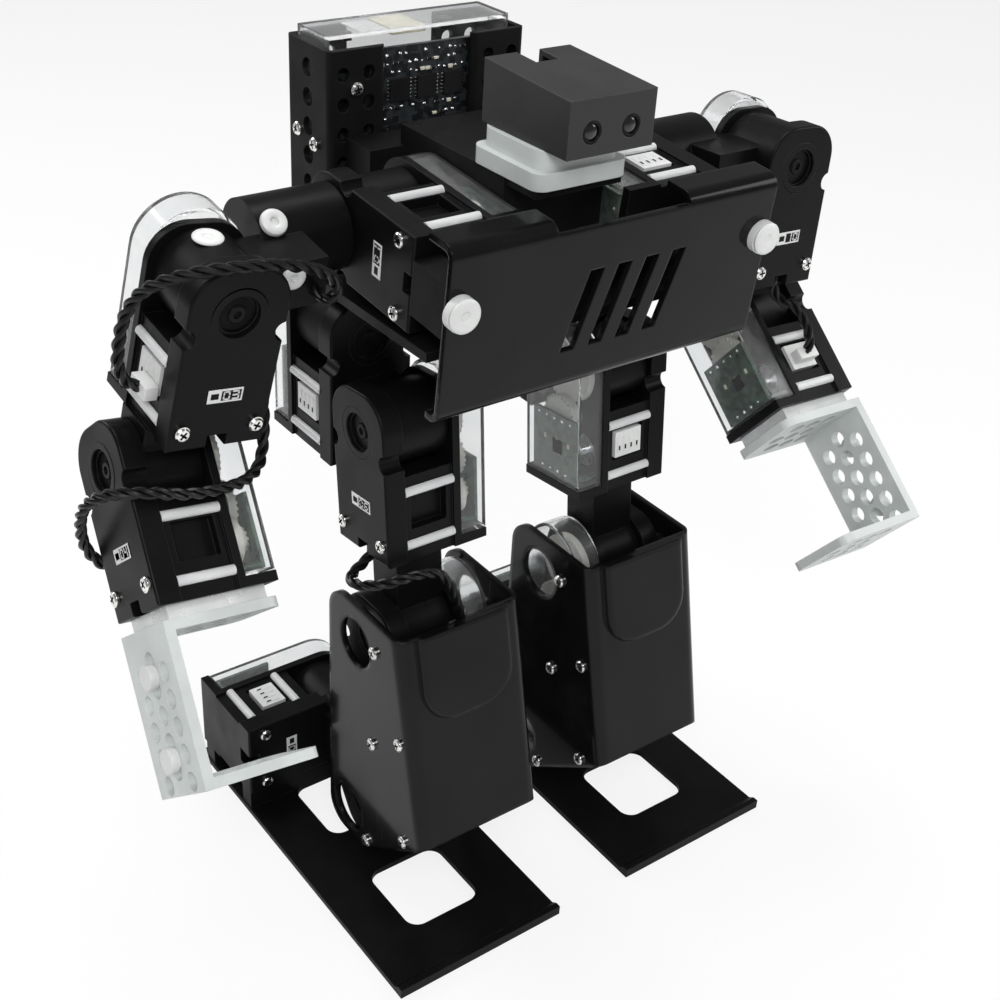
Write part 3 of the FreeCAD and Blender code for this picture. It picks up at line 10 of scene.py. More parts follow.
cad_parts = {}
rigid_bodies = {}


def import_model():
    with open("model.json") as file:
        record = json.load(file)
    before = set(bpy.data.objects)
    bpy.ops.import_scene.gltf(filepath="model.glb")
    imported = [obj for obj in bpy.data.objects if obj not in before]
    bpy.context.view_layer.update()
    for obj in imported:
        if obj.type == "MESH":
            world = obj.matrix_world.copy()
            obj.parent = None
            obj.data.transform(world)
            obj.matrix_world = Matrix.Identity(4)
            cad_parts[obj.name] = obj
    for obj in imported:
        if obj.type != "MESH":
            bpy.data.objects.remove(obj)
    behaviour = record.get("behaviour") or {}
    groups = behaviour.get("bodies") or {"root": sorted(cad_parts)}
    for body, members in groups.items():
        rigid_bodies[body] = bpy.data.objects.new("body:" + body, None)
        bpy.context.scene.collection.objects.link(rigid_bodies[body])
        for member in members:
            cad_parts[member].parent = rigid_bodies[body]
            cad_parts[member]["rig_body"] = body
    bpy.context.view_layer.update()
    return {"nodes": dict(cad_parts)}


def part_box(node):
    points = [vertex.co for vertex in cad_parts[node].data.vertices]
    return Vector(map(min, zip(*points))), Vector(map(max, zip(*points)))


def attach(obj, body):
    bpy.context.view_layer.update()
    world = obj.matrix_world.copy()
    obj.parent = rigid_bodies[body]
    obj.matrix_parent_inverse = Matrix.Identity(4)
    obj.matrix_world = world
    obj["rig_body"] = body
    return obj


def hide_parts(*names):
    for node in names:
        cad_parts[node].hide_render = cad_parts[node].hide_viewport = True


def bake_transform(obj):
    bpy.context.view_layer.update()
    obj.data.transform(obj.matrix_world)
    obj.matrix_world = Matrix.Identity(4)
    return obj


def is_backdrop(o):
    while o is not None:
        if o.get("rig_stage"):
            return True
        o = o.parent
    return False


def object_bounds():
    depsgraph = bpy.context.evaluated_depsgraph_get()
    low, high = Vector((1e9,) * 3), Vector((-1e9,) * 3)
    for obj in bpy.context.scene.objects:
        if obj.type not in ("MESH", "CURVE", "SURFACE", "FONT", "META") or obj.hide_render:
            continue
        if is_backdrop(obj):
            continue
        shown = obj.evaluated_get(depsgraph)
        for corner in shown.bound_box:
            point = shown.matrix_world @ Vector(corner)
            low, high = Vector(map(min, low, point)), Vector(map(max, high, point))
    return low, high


# Looks of the humanoid robot kit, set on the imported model: finishes, screw heads, labels, sockets,
# gears, circuit parts, rivets and twisted leads. Local sizes are in millimetres.

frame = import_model()
NODES = frame["nodes"]
MM = 0.001
TO_METRES = Matrix.Scale(MM, 4)
IN_PLACE = Matrix.Identity(4)
SIDES = ("right", "left")

# A servo module's own frame: X across, Y into it from the cover's outer face, Z up from the shaft.
# Its cover screws stand this far below the shaft, behind the face and to each side.
SCREW_DROP = 34.0
SCREW_MIDDLE = 4.05
SCREW_ACROSS = 11.0


# -------- Objects and nodes

def place_object(name, data):
    """A new object in the scene."""
    thing = bpy.data.objects.new(name, data)
    bpy.context.scene.collection.objects.link(thing)
    return thing


def feed(tree, node, values):
    """Gives each named input of a node its value, or another node's output."""
    for name, value in values.items():
        if isinstance(value, bpy.types.NodeSocket):
            tree.links.new(value, node.inputs[name])
        else:
            node.inputs[name].default_value = value
    return node


def add_node(tree, kind, values=None, **settings):
    """A new shader node with its settings and inputs."""
    node = tree.nodes.new(f"ShaderNode{kind}")
    for name, value in settings.items():
        setattr(node, name, value)
    return feed(tree, node, values or {})


def calculate(tree, operation, first, second):
    """The result of a sum on two values."""
    return add_node(tree, "Math", {0: first, 1: second}, operation=operation).outputs[0]


def mix_shaders(tree, factor, first, second):
    """A shader between two others."""
    return add_node(tree, "MixShader", {"Fac": factor, 1: first, 2: second}).outputs[0]


# -------- Camera, light and floor

TORSO_MIDDLE = (sum(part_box("torso_frame"), Vector())) / 2
CAMERA_FROM_TORSO = Vector((-0.2600, -0.3305, 0.3863))
CAMERA_AZIMUTH = math.radians(-38.338)
CAMERA_ELEVATION = math.radians(31.792)
CAMERA_ROLL = math.radians(3.681)
FOCAL_LENGTH = 53.48
SENSOR_WIDTH = 36
NEAREST = 0.01

# Strength of the surround as light and in reflections. It is white where it is seen.
PLAIN_LIGHT = 0.36
GLOSSY_LIGHT = 0.26
WHITE_LIGHT = 1.0
FLOOR_HALF = 3.0
FLOOR_DROP = 0.0002
FLOOR_GREY = 0.86
FLOOR_ROUGHNESS = 0.6
FLOOR_GLOW = 0.8
LAMP_AIM = Vector((0, 0, 0.13))
# Each lamp's name, place, width and power.
LAMPS = (
    ("key", (-0.55, -0.75, 0.95), 0.45, 8.0),
    ("fill", (0.9, -0.5, 0.6), 0.5, 3.5),
    ("top", (0.1, 0.2, 1.1), 0.5, 5.0),
    ("rear", (-0.3, 0.9, 0.7), 0.5, 3.5),
)


def make_camera():
    """A camera at three quarters from the robot's right, a little rolled."""
    data = bpy.data.cameras.new("camera")
    data.lens = FOCAL_LENGTH
    data.sensor_width = SENSOR_WIDTH
    data.clip_start = NEAREST
    camera = place_object("camera", data)
    flat = math.cos(CAMERA_ELEVATION)
    back = Vector((
        math.sin(CAMERA_AZIMUTH) * flat,
        -math.cos(CAMERA_AZIMUTH) * flat,
        math.sin(CAMERA_ELEVATION),
    ))
    right = Vector((0, 0, 1)).cross(back).normalized()
    up = back.cross(right)
    across = right * math.cos(CAMERA_ROLL) + up * math.sin(CAMERA_ROLL)
    upward = up * math.cos(CAMERA_ROLL) - right * math.sin(CAMERA_ROLL)
    place = Vector((TORSO_MIDDLE.x, TORSO_MIDDLE.y, 0)) + CAMERA_FROM_TORSO
    turn = Matrix((across, upward, back)).transposed().to_4x4()
    camera.matrix_world = Matrix.Translation(place) @ turn
    bpy.context.scene.camera = camera


def lamp(name, place, width, power):
    """A soft square lamp that faces the robot's middle."""
    data = bpy.data.lights.new(name, "AREA")
    data.size = width
    data.energy = power
    light = place_object(name, data)
    light.location = place
    light.rotation_mode = "QUATERNION"
    light.rotation_quaternion = (LAMP_AIM - Vector(place)).to_track_quat("-Z", "Y")


def make_world():
    """An even surround: white where it is seen plainly or through clear things, dimmer as light."""
    world = bpy.data.worlds.new("surround")
    bpy.context.scene.world = world
    world.use_nodes = True
    tree = world.node_tree
    tree.nodes.clear()
    path = add_node(tree, "LightPath").outputs
    plain, glossy, white = (
        add_node(tree, "Background", {"Color": (1, 1, 1, 1), "Strength": strength}).outputs[0]
        for strength in (PLAIN_LIGHT, GLOSSY_LIGHT, WHITE_LIGHT)
    )
    seen = calculate(tree, "MAXIMUM", path["Is Camera Ray"], path["Is Transmission Ray"])
    unseen = mix_shaders(tree, path["Is Glossy Ray"], plain, glossy)
    add_node(tree, "OutputWorld", {"Surface": mix_shaders(tree, seen, unseen, white)})


def make_floor():
    """A plain pale floor that keeps the robot's shadow."""
    bm = bmesh.new()
    bmesh.ops.create_grid(bm, x_segments=8, y_segments=8, size=FLOOR_HALF)
    data = bpy.data.meshes.new("floor")
    bm.to_mesh(data)
    bm.free()
    floor = place_object("floor", data)
    floor.location.z = -FLOOR_DROP
    material, tree, shader = shader_of("floor")
    grey = (FLOOR_GREY, FLOOR_GREY, FLOOR_GREY, 1)
    feed(tree, shader, {"Base Color": grey, "Roughness": FLOOR_ROUGHNESS})
    glow = add_node(tree, "Emission", {"Strength": 1.0}).outputs[0]
    seen = add_node(tree, "LightPath").outputs["Is Camera Ray"]
    share = calculate(tree, "MULTIPLY", seen, FLOOR_GLOW)
    surface = mix_shaders(tree, share, shader.outputs[0], glow)
    feed(tree, tree.nodes["Material Output"], {"Surface": surface})
    data.materials.append(material)
    floor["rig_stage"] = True


def shader_of(name):
    """A new node material with its tree and its shader."""
    material = bpy.data.materials.new(name)
    material.use_nodes = True
    tree = material.node_tree
    return material, tree, tree.nodes["Principled BSDF"]


make_camera()
make_world()
make_floor()
for name, place, width, power in LAMPS:
    lamp(name, place, width, power)
bpy.context.scene.view_settings.view_transform = "Standard"


# -------- Materials

# How many features each noise has to a metre.
GRAIN, BLOTCHES, EDGE_BREAKUP = 9000, 60, 900
WAVES, SCRATCHES, SMUDGES = 35, 700, 45
HAZE, FLOW_LINES = 120, 260
TOOL_MARKS, DULL_SPOTS = 2500, 400
TRACKS, MASK_SHEEN = 420, 300


def noise(tree, scale, detail=3.0, stretch=None):
    """A noise over the object's own coordinates, with features of 1/scale metres."""
    place = add_node(tree, "TexCoord").outputs["Object"]
    if stretch is not None:
        place = add_node(tree, "Mapping", {"Vector": place, "Scale": stretch}).outputs["Vector"]
    values = {"Vector": place, "Scale": scale, "Detail": detail}
    return add_node(tree, "TexNoise", values).outputs["Fac"]


def ramp(tree, value, low, high, start=0.3, end=0.7):
    """A value spread between two others."""
    return add_node(tree, "MapRange", {
        "Value": value, "From Min": start, "From Max": end, "To Min": low, "To Max": high,
    }).outputs["Result"]


def colours(tree, factor, first, second):
    """A colour between two others, of which the first may be another node's."""
    if not isinstance(first, bpy.types.NodeSocket):
        first = (*first, 1)
    values = {"Factor": factor, "A": first, "B": (*second, 1)}
    return add_node(tree, "Mix", values, data_type="RGBA").outputs["Result"]


def shade(colour, share):
    """A darker colour."""
    return tuple(part * share for part in colour)


def bump(tree, height, strength, distance, normal=None):
    """The normals of a surface with a fine relief, its height in millimetres."""
    values = {"Height": height, "Strength": strength, "Distance": distance * MM}
    if normal is not None:
        values["Normal"] = normal
    return add_node(tree, "Bump", values).outputs["Normal"]


def soft_edges(tree, shader, height, strength, distance, radius):
    """A fine bump over edges that are rounded a little, as a mould leaves them."""
    rounded = add_node(tree, "Bevel", {"Radius": radius * MM}, samples=6).outputs["Normal"]
    feed(tree, shader, {"Normal": bump(tree, height, strength, distance, rounded)})
    return rounded


def edge_wear_and_highlight(tree, rounded):
    """How much a place is an outer or inner edge, from 0 to 1."""
    normal = add_node(tree, "NewGeometry").outputs["Normal"]
    dot = add_node(tree, "VectorMath", {0: rounded, 1: normal}, operation="DOT_PRODUCT")
    return ramp(tree, dot.outputs["Value"], 1.0, 0.0, 0.90, 0.995)


def plastic(name, colour, edge_wear_and_highlight_colour, rough, grain_height=0.02, edge=0.35, level=0.5):
    """Moulded plastic: fine grain, slight blotches in colour and gloss, and paler edges that are
    partly abrasion and partly a painted highlight.
    """
    material, tree, shader = shader_of(name)
    blotches = noise(tree, BLOTCHES, 4.0)
    rounded = soft_edges(tree, shader, noise(tree, GRAIN, 2.0), 0.5, grain_height, edge)
    base = colours(tree, ramp(tree, blotches, 0, 1), shade(colour, 0.8), colour)
    edge_breakup = ramp(tree, noise(tree, EDGE_BREAKUP), 0.1, 0.9)
    # Edges, broken up by noise, take the paler colour: partly abrasion, partly a painted highlight.
    wear_and_highlight = calculate(tree, "MULTIPLY", edge_wear_and_highlight(tree, rounded), edge_breakup)
    feed(tree, shader, {
        "Base Color": colours(tree, wear_and_highlight, base, edge_wear_and_highlight_colour),
        "Roughness": ramp(tree, blotches, *rough),
        "Specular IOR Level": level,
    })
    return material


def gloss_black(name, edge, coat):
    """Glossy black sheet: faint smudges, hairline scratches and a wavy clear surface."""
    material, tree, shader = shader_of(name)
    soft_edges(tree, shader, noise(tree, WAVES, 2.0), 0.12, 0.25, edge)
    smudges = noise(tree, SMUDGES, 5.0)
    scratches = ramp(tree, noise(tree, SCRATCHES, 6.0, (1, 1, 0.06)), 0.0, 0.12, 0.62, 0.75)
    dark, pale = (0.003, 0.003, 0.0035), (0.006, 0.006, 0.0065)
    feed(tree, shader, {
        "Base Color": colours(tree, ramp(tree, smudges, 0, 1), dark, pale),
        "Roughness": calculate(tree, "ADD", ramp(tree, smudges, 0.09, 0.2), scratches),
        "Specular IOR Level": 0.11,
        "Coat Weight": coat,
        "Coat Roughness": 0.05,
    })
    return material


def clear_plastic(name, colour, rough, through):
    """Clear moulded plastic with handling haze and flow lines."""
    material, tree, shader = shader_of(name)
    haze = noise(tree, HAZE, 5.0)
    flow = noise(tree, FLOW_LINES, 2.0, (1, 1, 0.25))
    feed(tree, shader, {
        "Base Color": colours(tree, ramp(tree, haze, 0, 1), colour, (1, 1, 1)),
        "Roughness": ramp(tree, haze, *rough),
        "Transmission Weight": through,
        "IOR": 1.3,
        "Normal": bump(tree, flow, 0.15, 0.2),
    })
    return material


def metal(name, colour, rough, stretch=None):
    """Bright metal with fine turning or drawing marks and dull spots."""
    material, tree, shader = shader_of(name)
    marks = noise(tree, TOOL_MARKS, 4.0, stretch)
    spots = ramp(tree, noise(tree, DULL_SPOTS), 0, 1)
    soft_edges(tree, shader, marks, 0.3, 0.01, 0.12)
    feed(tree, shader, {
        "Metallic": 1.0,
        "Base Color": colours(tree, spots, shade(colour, 0.7), colour),
        "Roughness": ramp(tree, marks, *rough),
    })
    return material


def circuit(name, colour, track):
    """Solder mask over copper tracks: pale lines in a square weave under a satin skin."""
    material, tree, shader = shader_of(name)
    values = {"Vector": add_node(tree, "TexCoord").outputs["Object"], "Scale": TRACKS}
    cells = add_node(tree, "TexVoronoi", values, distance="CHEBYCHEV", feature="F1")
    lines = ramp(tree, cells.outputs["Distance"], 0, 1, 0.42, 0.46)
    feed(tree, shader, {
        "Base Color": colours(tree, lines, colour, track),
        "Roughness": ramp(tree, noise(tree, MASK_SHEEN), 0.25, 0.45),
        "Normal": bump(tree, lines, 0.4, 0.05),
    })
    return material


# Each plastic's second colour is for its edges: partly abrasion and partly a painted highlight.
SATIN = plastic(
    "satin_black", (0.005, 0.005, 0.0055), (0.03, 0.03, 0.032), (0.28, 0.44), level=0.1
)
MATTE = plastic(
    "matte_black", (0.006, 0.006, 0.0065), (0.025, 0.025, 0.026), (0.42, 0.6),
    grain_height=0.035, level=0.12,
)
HEAD = plastic(
    "head_black", (0.011, 0.011, 0.0115), (0.045, 0.045, 0.047), (0.4, 0.55),
    edge=0.6, level=0.55,
)
# Near black for screw recesses, socket slots and the shaft hole's stub: painted shade in these
# hollows.
PAINTED_RECESS_SHADE = plastic(
    "recess_black", (0.002, 0.002, 0.002), (0.005, 0.005, 0.005), (0.6, 0.8), level=0.15
)
GLOSS = gloss_black("gloss_black", 0.8, 0.12)
SHELL = gloss_black("shell_gloss", 2.4, 0.15)
LENS = gloss_black("lens", 0.1, 1.0)
CLEAR = clear_plastic("clear_plastic", (0.93, 0.95, 0.96), (0.03, 0.14), 0.97)
GREY = plastic(
    "grey_plastic", (0.6, 0.635, 0.62), (0.7, 0.73, 0.72), (0.34, 0.5), grain_height=0.015
)
CLOUDY = clear_plastic("cloudy_plastic", (0.8, 0.83, 0.84), (0.16, 0.3), 0.5)
PIN = clear_plastic("clear_pin", (0.86, 0.88, 0.89), (0.06, 0.16), 0.4)
WHITE = plastic("white_nylon", (0.72, 0.73, 0.72), (0.82, 0.82, 0.82), (0.3, 0.46))
CREAM = plastic("cream_pad", (0.66, 0.63, 0.5), (0.74, 0.71, 0.6), (0.5, 0.65))
NICKEL = metal("nickel", (0.93, 0.92, 0.9), (0.1, 0.26))
TIN = metal("solder", (0.8, 0.8, 0.82), (0.12, 0.3))
STEEL = metal("steel_can", (0.62, 0.63, 0.64), (0.22, 0.4), (1, 1, 0.1))
GEAR = plastic("gear_nylon", (0.55, 0.55, 0.5), (0.68, 0.68, 0.62), (0.35, 0.5))
BOARD = circuit("circuit_black", (0.005, 0.006, 0.008), (0.02, 0.024, 0.026))
GREEN_BOARD = circuit("circuit_green", (0.006, 0.022, 0.013), (0.03, 0.07, 0.04))
CHIP = plastic(
    "chip_black", (0.006, 0.006, 0.006), (0.02, 0.02, 0.02), (0.35, 0.5), edge=0.08, level=0.35
)
LEAD = plastic(
    "lead_black", (0.006, 0.006, 0.0065), (0.015, 0.015, 0.015), (0.24, 0.38),
    edge=0.05, level=0.3,
)


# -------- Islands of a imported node

# Corners are one where they agree to a ten-thousandth of a millimetre.
WELD = 1e7


def islands(node):
    """The separate solids of a node: their corners, faces, volume, centre and reach."""
    data = NODES[node].data
    corners = np.array([vertex.co for vertex in data.vertices])
    keys = {}
    rounded = np.round(corners * WELD).astype(int)
    welded = [keys.setdefault(tuple(key), len(keys)) for key in rounded]
    leader = list(range(len(keys)))

    def find(number):
        """The leader of the corners that a corner is joined to."""
        while leader[number] != number:
            leader[number] = leader[leader[number]]
            number = leader[number]
        return number

    for face in data.polygons:
        first = find(welded[face.vertices[0]])
        for corner in face.vertices[1:]:
            leader[find(welded[corner])] = first
    found = {}
    for face in data.polygons:
        solid = found.setdefault(
            find(welded[face.vertices[0]]), {"faces": [], "volume": 0.0, "corners": set()}
        )
        solid["faces"].append(face.index)
        solid["corners"].update(face.vertices)
        a, b, c = (corners[corner] / MM for corner in face.vertices[:3])
        solid["volume"] += float(np.dot(a, np.cross(b, c))) / 6
    for solid in found.values():
        points = corners[sorted(solid["corners"])] / MM
        solid["points"] = points
        solid["centre"] = (points.min(0) + points.max(0)) / 2
        middle = points.mean(0)
        solid["reach"] = float(np.linalg.norm(points - middle, axis=1).max())
    return list(found.values())


# What the solids of a servo's drive are, by volume in cubic millimetres, and their finishes.
DRIVE_KINDS = (
    ("screw", 45, 57, NICKEL),
    ("side_pin", 100, 150, PIN),
    ("socket", 300, 430, WHITE),
    ("train", 430, 720, GEAR),
    ("output", 720, 1000, GEAR),
    ("motor", 1200, 2000, STEEL),
    ("housing", 2000, 20000, CLEAR),
)
DRIVE_FINISH = {kind: finish for kind, _, _, finish in DRIVE_KINDS}
DRIVE_FINISH.update(board=GREEN_BOARD, other=NICKEL)
# A board is as wide as a motor but thin. A gear is smaller than other solids of its volume.
BOARD_REACH = 14.0
BOARD_VOLUME = 1000
GEAR_REACH = 12.0


def kind_of(solid):
    """The kind of one solid of a drive."""
    if solid["reach"] > BOARD_REACH and solid["volume"] < BOARD_VOLUME:
        return "board"
    for kind, low, high, _ in DRIVE_KINDS:
        if low <= solid["volume"] < high:
            return kind
    return "other"


def paint(node, material):
    """Gives a whole node one finish."""
    data = NODES[node].data
    data.materials.clear()
    data.materials.append(material)


def paint_solids(node, solids, finishes):
    """Gives each solid of a node the finish at its place in the list."""
    data = NODES[node].data
    data.materials.clear()
    order = []
    for solid, finish in zip(solids, finishes):
        if finish not in order:
            order.append(finish)
            data.materials.append(finish)
        for face in solid["faces"]:
            data.polygons[face].material_index = order.index(finish)


def unit(vector):
    """A direction of length 1."""
    return vector / np.linalg.norm(vector)


def module_frame(solids):
    """A module's own frame, in metres, from its screws, side pins and lead socket."""
    screws = [solid["centre"] for solid in solids if solid["kind"] == "screw"]
    pins = [solid for solid in solids if solid["kind"] == "side_pin"]
    socket = next(solid["centre"] for solid in solids if solid["kind"] == "socket")
    middle = sum(screws) / len(screws)
    across = unit(screws[0] - screws[1])
    if np.dot(socket - middle, across) > 0:
        across = -across
    points = pins[0]["points"]
    inward = np.linalg.svd(points - points.mean(0), full_matrices=False)[2][0]
    pin_middle = sum(pin["centre"] for pin in pins) / len(pins)
    if np.dot(pin_middle - middle, inward) < 0:
        inward = -inward
    inward = unit(inward - across * np.dot(inward, across))
    upward = np.cross(across, inward)
    origin = middle - inward * SCREW_MIDDLE + upward * SCREW_DROP
    turn = Matrix([across, inward, upward]).transposed().to_4x4()
    return Matrix.Translation(Vector(origin) * MM) @ turn @ TO_METRES


MODULE_PARTS = ("screw", "side_pin", "socket", "motor", "board")


def drive_modules(node):
    """Paints a node of servo drives and gives the frame of each of its modules."""
    solids = islands(node)
    for solid in solids:
        solid["kind"] = kind_of(solid)
    paint_solids(node, solids, [DRIVE_FINISH[solid["kind"]] for solid in solids])
    boards = [solid for solid in solids if solid["kind"] == "board"]
    groups = [[] for _ in boards]
    for solid in solids:
        if solid["kind"] in MODULE_PARTS:
            gaps = [np.linalg.norm(solid["centre"] - board["centre"]) for board in boards]
            groups[gaps.index(min(gaps))].append(solid)
    return [module_frame(group) for group in groups]


def body_of_node(node):
    """The name of the body that a node belongs to."""
    return NODES[node]["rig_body"]


# -------- Pieces

SMOOTH_BELOW = math.radians(35)


def piece(name, body, bm, material, place=TO_METRES, smooth=True):
    """A new piece that rides on a body, if one is named, from a mesh in local millimetres."""
    bm.transform(place)
    bmesh.ops.recalc_face_normals(bm, faces=bm.faces)
    data = bpy.data.meshes.new(name)
    bm.to_mesh(data)
    bm.free()
    for finish in material if isinstance(material, (list, tuple)) else [material]:
        data.materials.append(finish)
    for face in data.polygons:
        face.use_smooth = smooth
    thing = place_object(name, data)
    if smooth:
        data.set_sharp_from_angle(angle=SMOOTH_BELOW)
    if body:
        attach(thing, body)
    return thing


def add_box(bm, low, high, index=0, bevel=0.0):
    """A box between two corners, with its edges rounded if a bevel is given."""
    made = bmesh.ops.create_cube(bm, size=1.0)["verts"]
    middle = (Vector(low) + Vector(high)) / 2
    lengths = Vector(high) - Vector(low)
    matrix = Matrix.Translation(middle) @ Matrix.Diagonal((*lengths, 1))
    bmesh.ops.transform(bm, matrix=matrix, verts=made)
    faces = {face for vertex in made for face in vertex.link_faces}
    if bevel:
        edges = list(dict.fromkeys(edge for vertex in made for edge in vertex.link_edges))
        result = bmesh.ops.bevel(
            bm, geom=edges, offset=bevel, segments=2, affect="EDGES", profile=0.5
        )
        faces = set(result["faces"]) | {face for face in faces if face.is_valid}
        faces |= {face for vertex in result["verts"] for face in vertex.link_faces}
    for face in faces:
        face.material_index = index


def add_walls(bm, low, high, index=0):
    """The faces between two rings of as many corners."""
    for number in range(len(low)):
        after = (number + 1) % len(low)
        face = bm.faces.new((low[number], low[after], high[after], high[number]))
        face.material_index = index


def add_lathe(bm, profile, centre, steps, index=0, place=None):
    """A closed turned shape about an axis along Y, from a profile of (radius, y) points."""
    made = []
    rings = []
    for radius, y in profile:
        if radius == 0:
            ring = [bm.verts.new((centre[0], y, centre[1]))]
        else:
            ring = [
                bm.verts.new((
                    centre[0] + radius * math.cos(math.tau * step / steps),
                    y,
                    centre[1] + radius * math.sin(math.tau * step / steps),
                ))
                for step in range(steps)
            ]
        rings.append(ring)
        made += ring
    for first, second in zip(rings, rings[1:]):
        for step in range(steps):
            after = (step + 1) % steps
            if len(first) == 1:
                face = bm.faces.new((first[0], second[step], second[after]))
            elif len(second) == 1:
                face = bm.faces.new((first[after], first[step], second[0]))
            else:
                face = bm.faces.new((first[after], first[step], second[step], second[after]))
            face.material_index = index
    if place is not None:
        bmesh.ops.transform(bm, matrix=place, verts=made)


def disc(radius, front, back):
    """The profile of a round plate."""
    return (0, front), (radius, front), (radius, back), (0, back)


# A screw's head, of which Y is the height, and the arms of its cross.
HEAD_RADIUS = 2.15
HEAD_STEPS = 24
DOME_SHARE = 0.8
HEAD_BASE = -0.02
HEAD_TOP = -1.35
RIM_TOP = 0.55 * HEAD_TOP
DOME_TOP = 0.92 * HEAD_TOP
CROSS_REACH = 1.25
CROSS_HALF = 0.32
CROSS_FLOOR = -0.93


def add_cross_head(bm, across, up, turn, place=None):
    """A domed screw head with a cross recess, standing on the plane Y = 0 and facing -Y."""
    start = len(bm.verts)
    arm = (CROSS_REACH, -CROSS_HALF), (CROSS_REACH, CROSS_HALF), (CROSS_HALF, CROSS_HALF)
    cross = []
    for quarter in range(4):
        angle = turn + quarter * math.pi / 2
        for forward, side in arm:
            cross.append((
                forward * math.cos(angle) - side * math.sin(angle),
                forward * math.sin(angle) + side * math.cos(angle),
            ))
    rim = []
    for step in range(HEAD_STEPS):
        angle = turn + math.tau * step / HEAD_STEPS
        rim.append((HEAD_RADIUS * math.cos(angle), HEAD_RADIUS * math.sin(angle)))

    def ring(points, y):
        """New corners at these points, all at one height."""
        return [bm.verts.new((across + x, y, up + z)) for x, z in points]

    base = ring(rim, HEAD_BASE)
    edge = ring(rim, RIM_TOP)
    dome = ring([(x * DOME_SHARE, z * DOME_SHARE) for x, z in rim], DOME_TOP)
    mouth = ring(cross, HEAD_TOP)
    floor = ring(cross, CROSS_FLOOR)
    add_walls(bm, base, edge)
    add_walls(bm, edge, dome)
    bm.faces.new(list(reversed(base)))
    edges = []
    for loop in (dome, mouth):
        for number, vertex in enumerate(loop):
            after = loop[(number + 1) % len(loop)]
            edges.append(bm.edges.get((vertex, after)) or bm.edges.new((vertex, after)))
    bmesh.ops.triangle_fill(bm, edges=edges, use_beauty=True)
    # The recess's walls and floor take the second finish, which is painted shade.
    add_walls(bm, mouth, floor, 1)
    bottom = bm.faces.new(floor)
    bottom.material_index = 1
    if place is not None:
        bm.verts.ensure_lookup_table()
        bmesh.ops.transform(bm, matrix=place, verts=bm.verts[start:])


# The printed label on a module's cover: its reach up and across, and its two black fields.
LABEL_LOW, LABEL_HIGH = -25.6, -21.4
LABEL_HALF = 5.2
LABEL_MARK = (-4.3, -2.0), 1.2
LABEL_FIELD = (-1.2, 4.65), 0.6
# The fronts and backs of its card, its fields and their digits.
CARD_FRONT, CARD_BACK = -0.12, 0.05
FIELD_FRONT, FIELD_BACK = -0.17, -0.1
DIGIT_FRONT, DIGIT_BACK = -0.22, -0.15


def add_label(bm):
    """A servo's printed label: a white frame with a plain mark and a field for its number."""
    add_box(
        bm, (-LABEL_HALF, CARD_FRONT, LABEL_LOW), (LABEL_HALF, CARD_BACK, LABEL_HIGH), bevel=0.05,
    )
    for (left, right), margin in (LABEL_MARK, LABEL_FIELD):
        low, high = LABEL_LOW + margin, LABEL_HIGH - margin
        add_box(bm, (left, FIELD_FRONT, low), (right, FIELD_BACK, high), index=1)


# The strokes of plain digits, as (x, z) ends on a field 1 wide and 2 high. Small letters are the
# top, the middle, the bottom and the upper left and right; capitals are the lower left and right.
STROKES = {
    "t": ((0, 2), (1, 2)),
    "l": ((0, 1), (0, 2)),
    "r": ((1, 1), (1, 2)),
    "m": ((0, 1), (1, 1)),
    "L": ((0, 0), (0, 1)),
    "R": ((1, 0), (1, 1)),
    "b": ((0, 0), (1, 0)),
}
DIGITS = (
    "tlrLRb", "rR", "trmLb", "trmRb", "lrmR", "tlmRb", "tlmLRb", "trR", "tlrmLRb", "tlrmRb",
)
DIGIT_HIGH = 2.3
DIGIT_WIDE = 1.6
DIGIT_START = -0.45
DIGIT_LOW = -24.65
DIGIT_GAP = 1.15
STROKE = 0.5


def add_digits(bm, text):
    """Plain white digits on the label's field."""
    for place, digit in enumerate(text):
        left = DIGIT_START + place * (DIGIT_WIDE + DIGIT_GAP)
        for stroke in DIGITS[int(digit)]:
            (x0, z0), (x1, z1) = (
                (left + x * DIGIT_WIDE, DIGIT_LOW + z * DIGIT_HIGH / 2) for x, z in STROKES[stroke]
            )
            add_box(
                bm,
                (min(x0, x1) - STROKE / 2, DIGIT_FRONT, min(z0, z1) - STROKE / 2),
                (max(x0, x1) + STROKE / 2, DIGIT_BACK, max(z0, z1) + STROKE / 2),
            )


# The socket on a module's side: its outer face, the middle of its ways, and its reach up.
SOCKET_FACE = -13.9
SOCKET_MIDDLE = 15.75
SOCKET_LOW, SOCKET_HIGH = -27.3, -21.7
WAYS = 4
WAY_PITCH = 2.5
WAY_HALF = 0.75
WAY_RISE = 0.25
# The slot in each way: its half width, its reach up from the socket's foot, and its two faces.
SLOT_HALF = 0.3
SLOT_LOW, SLOT_HIGH = 0.7, 2.3
SLOT_RISE, SLOT_SINK = 0.35, 0.2
# The collar round a module's shaft hole, and the face of the stub that ends in it.
COLLAR_INNER = 6.1
COLLAR_OUTER = 8.1
COLLAR_BACK = 1.25
STUB_FACE = 2.14
STUB_REACH = 5.5
STUB_NEAR = 0.3
STUB_CORNERS = 8
CAP_RADIUS = 4.8


def stub_body(place, own):
    """The body whose stub ends in a module's cover, or nothing where a bar goes through it."""
    inverse = place.inverted()
    centre = place @ Vector((0, STUB_FACE, 0))
    for node, thing in NODES.items():
        if body_of_node(node) == own:
            continue
        low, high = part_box(node)
        if any(not low[axis] - MM < centre[axis] < high[axis] + MM for axis in range(3)):
            continue
        points = [inverse @ vertex.co for vertex in thing.data.vertices]
        on_face = sum(
            abs(point.y - STUB_FACE) < STUB_NEAR and math.hypot(point.x, point.z) < STUB_REACH
            for point in points
        )
        if on_face > STUB_CORNERS:
            return body_of_node(node)
    return None


